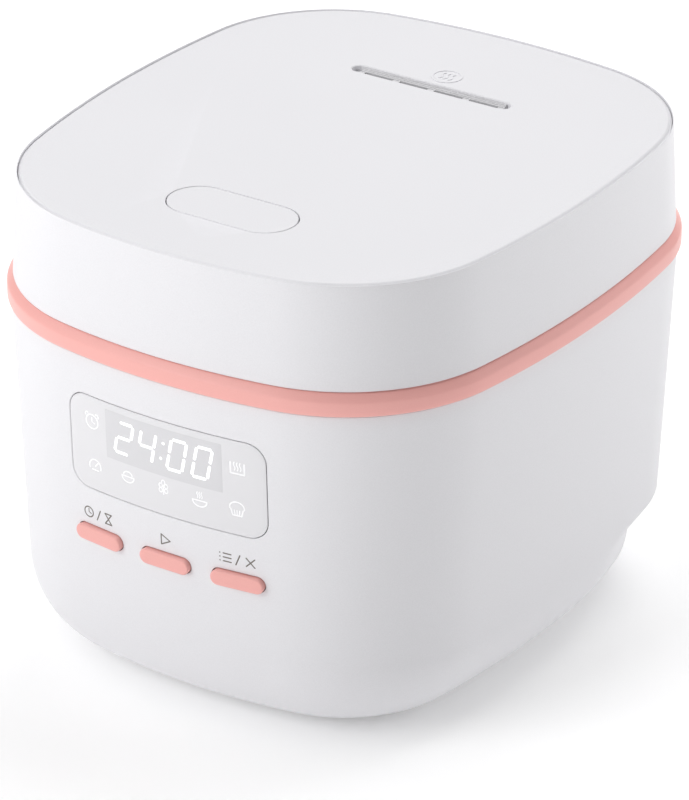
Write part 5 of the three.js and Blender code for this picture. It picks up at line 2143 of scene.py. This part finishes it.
    def lid_plate(self) -> None:
        """Makes the stamped inner plate, with its rolled rim, rings and holes."""
        low, high, radius = self.plate_low, self.plate_high, self.plate_radius
        profile = [(0.02, low)]
        for ring in (22.0, 40.0, 58.0):
            profile += [(ring - 1.6, low), (ring - 0.9, low - 0.25), (ring, low - 0.35),
                        (ring + 0.9, low - 0.25), (ring + 1.6, low)]
        profile += [(radius - 6.4, low), (radius - 5.6, low - 0.3), (radius - 5.0, low - 0.8),
                    (radius - 0.5, low - 0.8), (radius, low - 0.3), (radius, high - 0.2),
                    (radius - 0.2, high), (0.02, high)]
        plate = turned("lid_plate", profile, self.middle(), 160, loop=False)
        y = self.plan.shift_y
        tools = [self.drill("valve_hole", 6.0, (0.0, self.vent_y + y))]
        for i in range(3):
            angle = math.radians(210 + i * 60)
            spot = (31.0 * math.cos(angle), 31.0 * math.sin(angle) + y)
            tools.append(self.drill(f"drain_{i}", 2.0, spot))
        carve(plate, tools, 30)
        self.settle(plate, "lid", "aluminium", ["inner_lid_plate"])

    @staticmethod
    def drill(name: str, radius: float, spot: Point) -> bpy.types.Object:
        """Makes an upright cutting tool."""
        profile = [(0.01, 150.0), (radius, 150.0), (radius, 162.0), (0.01, 162.0)]
        return turned(name, profile, spot, 32, loop=False)

    def seal(self) -> None:
        """Makes the lid's seal, with its soft lip."""
        inner, high = self.plate_radius + 0.3, self.plate_high
        profile = [(inner, high), (90.2, high), (90.6, high - 0.4), (90.6, 155.2), (90.1, 154.0),
                   (89.2, 152.8), (88.4, 152.4), (87.2, 152.4), (86.6, 152.7), (86.4, 153.3),
                   (86.3, 154.0), (85.6, 154.6), (inner, 154.8)]
        self.settle(turned("lid_seal", profile, self.middle(), 160), "lid", "silicone_seal",
                    ["lid_gasket"])

    def valve(self) -> None:
        """Makes the steam valve's soft cap."""
        spot = (0.0, self.vent_y + self.plan.shift_y)
        profile = [(2.4, 152.8), (10.6, 152.8), (11.8, 153.1), (12.4, 153.9), (12.5, 154.9),
                   (12.2, 155.5), (5.6, 155.5), (5.6, 161.0), (2.4, 161.0)]
        self.settle(turned("valve_cap", profile, spot, 64), "lid", "silicone_seal",
                    ["steam_valve"])


@dataclass
class Springs(Assembly):
    """The coil springs."""

    wire: float = 0.45
    turns: int = 6
    steps: int = 20
    sides: int = 10

    def build(self) -> None:
        """Makes the four springs."""
        for side in ("left", "right"):
            self.coil(f"release_spring_{side}", "lid", "release_press", 2, True)
        self.coil("latch_spring", "lid", "latch_slide", 1, False)
        self.coil("sensor_spring", "cooker_body", "sensor_press", 2, True)

    def coil(self, node: str, body: str, joint: str, axis: int, low_fixed: bool) -> None:
        """Makes one spring in the space of its CAD node.

        Args:
            node: The CAD node.
            body: The body that holds its fixed end.
            joint: Not used.
            axis: The number of the axis that it stands along.
            low_fixed: True if its lower end along that axis is the fixed one.
        """
        low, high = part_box(node)
        span = high[axis] - low[axis]
        middle = (low + high) / 2
        wire = self.wire * MM
        others = [i for i in range(3) if i != axis]
        reach = min(high[i] - low[i] for i in others) / 2 - wire
        rise = span - 2 * wire
        count = self.turns * self.steps
        line = []
        for i in range(count + 1):
            share = i / count
            climb = min(1.0, max(0.0, (share * self.turns - 0.5) / (self.turns - 1)))
            angle = 2 * math.pi * self.turns * share
            point = Vector(middle)
            point[axis] = low[axis] + wire + rise * climb
            point[others[0]] += reach * math.cos(angle)
            point[others[1]] += reach * math.sin(angle)
            line.append(point)
        upright = Vector([1.0 if i == axis else 0.0 for i in range(3)])
        rings = []
        for i, point in enumerate(line):
            along = (line[min(i + 1, count)] - line[max(i - 1, 0)]).normalized()
            side = along.cross(upright).normalized()
            up = side.cross(along)
            angles = [2 * math.pi * k / self.sides for k in range(self.sides)]
            rings.append([point + (side * math.cos(a) + up * math.sin(a)) * wire for a in angles])
        piece = Shape().loft(rings).make(f"{node}_coil", 60)
        self.settle(piece, body, "bright_steel", [node])
        anchor = Vector(middle)
        anchor[axis] = low[axis] if low_fixed else high[axis]
        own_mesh(piece)


@dataclass
class CarriedParts(Assembly):
    """The CAD nodes that stay as they are, and get eased edges and a finish."""

    ease: dict[str, float] = field(default_factory=lambda: {
        "base_plate": 0.4,
        "inlet_housing": 0.35,
        "latch_slider": 0.35,
        "heating_plate": 0.3,
    })

    def dress(self, slots: dict[str, str]) -> None:
        """Finishes every CAD node that is still shown.

        Args:
            slots: The material slot of each node.
        """
        for name, node in frame["nodes"].items():
            if node.hide_render:
                continue
            soften(node, self.ease.get(name, 0.15))
            self.finishes.put(node, slots[name])
            LOG.info("%s keeps its CAD shape", name)


# --------------------------------------------------------------------------------------------
# Studio
# --------------------------------------------------------------------------------------------


@dataclass(frozen=True)
class SoftBox:
    """One soft light, placed by direction round the cooker. Distances are in metres."""

    name: str
    azimuth: float
    elevation: float
    distance: float
    width: float
    height: float
    power: float
    colour: Colour = (1.0, 1.0, 1.0)

    def hang(self, aim: Vector) -> None:
        """Hangs the light so that it points at the aim.

        Args:
            aim: The point that it shines at, in metres.
        """
        a, e = math.radians(self.azimuth), math.radians(self.elevation)
        out = Vector((math.sin(a) * math.cos(e), -math.cos(a) * math.cos(e), math.sin(e)))
        data = bpy.data.lights.new(self.name, "AREA")
        data.shape = "RECTANGLE"
        data.size, data.size_y = self.width, self.height
        data.energy = self.power
        data.color = self.colour
        light = bpy.data.objects.new(self.name, data)
        bpy.context.scene.collection.objects.link(light)
        light.location = aim + out * self.distance
        light.rotation_mode = "QUATERNION"
        light.rotation_quaternion = out.to_track_quat("Z", "Y")


@dataclass(frozen=True)
class Viewpoint:
    """The camera, looking down at the front right corner of the cooker."""

    azimuth: float = 33.06
    elevation: float = 26.87
    roll: float = 0.24
    distance: float = 1.99385
    lens: float = 225.0
    slide_right: float = -0.00069
    slide_up: float = -0.00045

    def place(self, aim: Vector) -> None:
        """Makes the scene's camera, aimed close to a point.

        Args:
            aim: The point that it looks at, in metres.
        """
        a, e, r = (math.radians(x) for x in (self.azimuth, self.elevation, self.roll))
        back = Vector((math.sin(a) * math.cos(e), -math.cos(a) * math.cos(e), math.sin(e)))
        level = Vector((math.cos(a), math.sin(a), 0.0))
        upright = back.cross(level)
        right = level * math.cos(r) + upright * math.sin(r)
        up = upright * math.cos(r) - level * math.sin(r)
        data = bpy.data.cameras.new("camera")
        data.lens = self.lens
        data.clip_start, data.clip_end = 0.05, 60.0
        camera = bpy.data.objects.new("camera", data)
        bpy.context.scene.collection.objects.link(camera)
        camera.location = aim + back * self.distance + right * self.slide_right + up * self.slide_up
        camera.rotation_mode = "QUATERNION"
        camera.rotation_quaternion = Matrix((right, up, back)).transposed().to_quaternion()
        bpy.context.scene.camera = camera


@dataclass(frozen=True)
class Studio:
    """Pale floor, white surroundings and soft lights."""

    aim_height: float = 0.43245
    aim_forward: float = 0.00222
    floor_half: float = 9.0
    floor_gap: float = 0.0002
    ambient: float = 0.2
    backdrop: float = 1.0
    boxes: tuple[SoftBox, ...] = (
        SoftBox("left_box", -26.0, 30.0, 1.8, 1.0, 1.0, 13.2),
        SoftBox("right_box", 135.0, 20.0, 1.7, 1.2, 1.3, 7.8),
        SoftBox("top_left_box", -60.0, 58.0, 1.9, 1.5, 1.5, 10.5),
        SoftBox("top_rear_box", 180.0, 58.0, 1.9, 1.5, 1.5, 19.8),
    )

    def build(self, finishes: Finishes, shift_y: float) -> None:
        """Sets up everything round the cooker.

        Args:
            finishes: Not used.
            shift_y: The plan shift in millimetres.
        """
        low, high = CAD_BOX
        aim = Vector((0.0, self.aim_forward + shift_y * MM, high.z * self.aim_height))
        Viewpoint().place(aim)
        for box in self.boxes:
            box.hang(aim)
        self.floor(low.z)
        self.surroundings()
        bpy.context.scene.view_settings.view_transform = "Standard"

    def floor(self, height: float) -> None:
        """Makes the plain floor, which is staged.

        Args:
            height: The floor's height, in metres.
        """
        h = self.floor_half
        corners = [(-h, -h), (h, -h), (h, h), (-h, h)]
        mesh = bpy.data.meshes.new("floor")
        z = height - self.floor_gap
        mesh.from_pydata([(x, y, z) for x, y in corners], [], [(0, 1, 2, 3)])
        floor = bpy.data.objects.new("floor", mesh)
        bpy.context.scene.collection.objects.link(floor)
        finish = LitPaper("floor_paper", Kind.MOULDED, (0.97, 0.97, 0.97), (0.965, 0.965, 0.965),
                        (0.97, 0.97, 0.97), roughness=0.9, roughness_swing=0.02, grain=600,
                        relief=0.0005, speckle=0.5, wear=0.0, dust=0.0, specular=0.1,
                        glow=1.0)
        mesh.materials.append(finish.make())

    def surroundings(self) -> None:
        """Makes the white world, softer for the lighting than for the backdrop."""
        world = bpy.data.worlds.new("white surroundings")
        bpy.context.scene.world = world
        world.use_nodes = True
        nodes, links = world.node_tree.nodes, world.node_tree.links
        lighting = nodes["Background"]
        lighting.inputs["Color"].default_value = (0.985, 0.99, 1.0, 1.0)
        lighting.inputs["Strength"].default_value = self.ambient
        backdrop = nodes.new("ShaderNodeBackground")
        backdrop.inputs["Color"].default_value = (1.0, 1.0, 1.0, 1.0)
        backdrop.inputs["Strength"].default_value = self.backdrop
        seen = nodes.new("ShaderNodeLightPath")
        mix = nodes.new("ShaderNodeMixShader")
        links.new(seen.outputs["Is Camera Ray"], mix.inputs[0])
        links.new(lighting.outputs[0], mix.inputs[1])
        links.new(backdrop.outputs[0], mix.inputs[2])
        links.new(mix.outputs[0], nodes["World Output"].inputs["Surface"])


def main() -> None:
    """Builds the cooker piece by piece, then the studio."""
    logging.basicConfig(level=logging.INFO, format="%(message)s")
    low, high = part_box("body_shell")
    plan = PlanOutline(shift_y=(low.y + high.y) / 2 / MM)
    wall = WallSurface(plan)
    finishes = Finishes(plan.shift_y * MM)
    shared = (plan, wall, finishes)
    keypad = Keypad(*shared)
    panel = DisplayPanel(*shared)
    rear = RearCover(*shared)
    keypad.build()
    panel.build()
    BodyWall(*shared, keypad, panel).build()
    rear.build()
    Lid(*shared, rear).build()
    Chamber(*shared).build()
    Springs(*shared).build()
    slots = {part["node"]: part["material_slot"] for part in frame["record"]["subparts"]}
    CarriedParts(*shared).dress(slots)
    Studio().build(finishes, plan.shift_y)


if __name__ == "__main__":
    main()
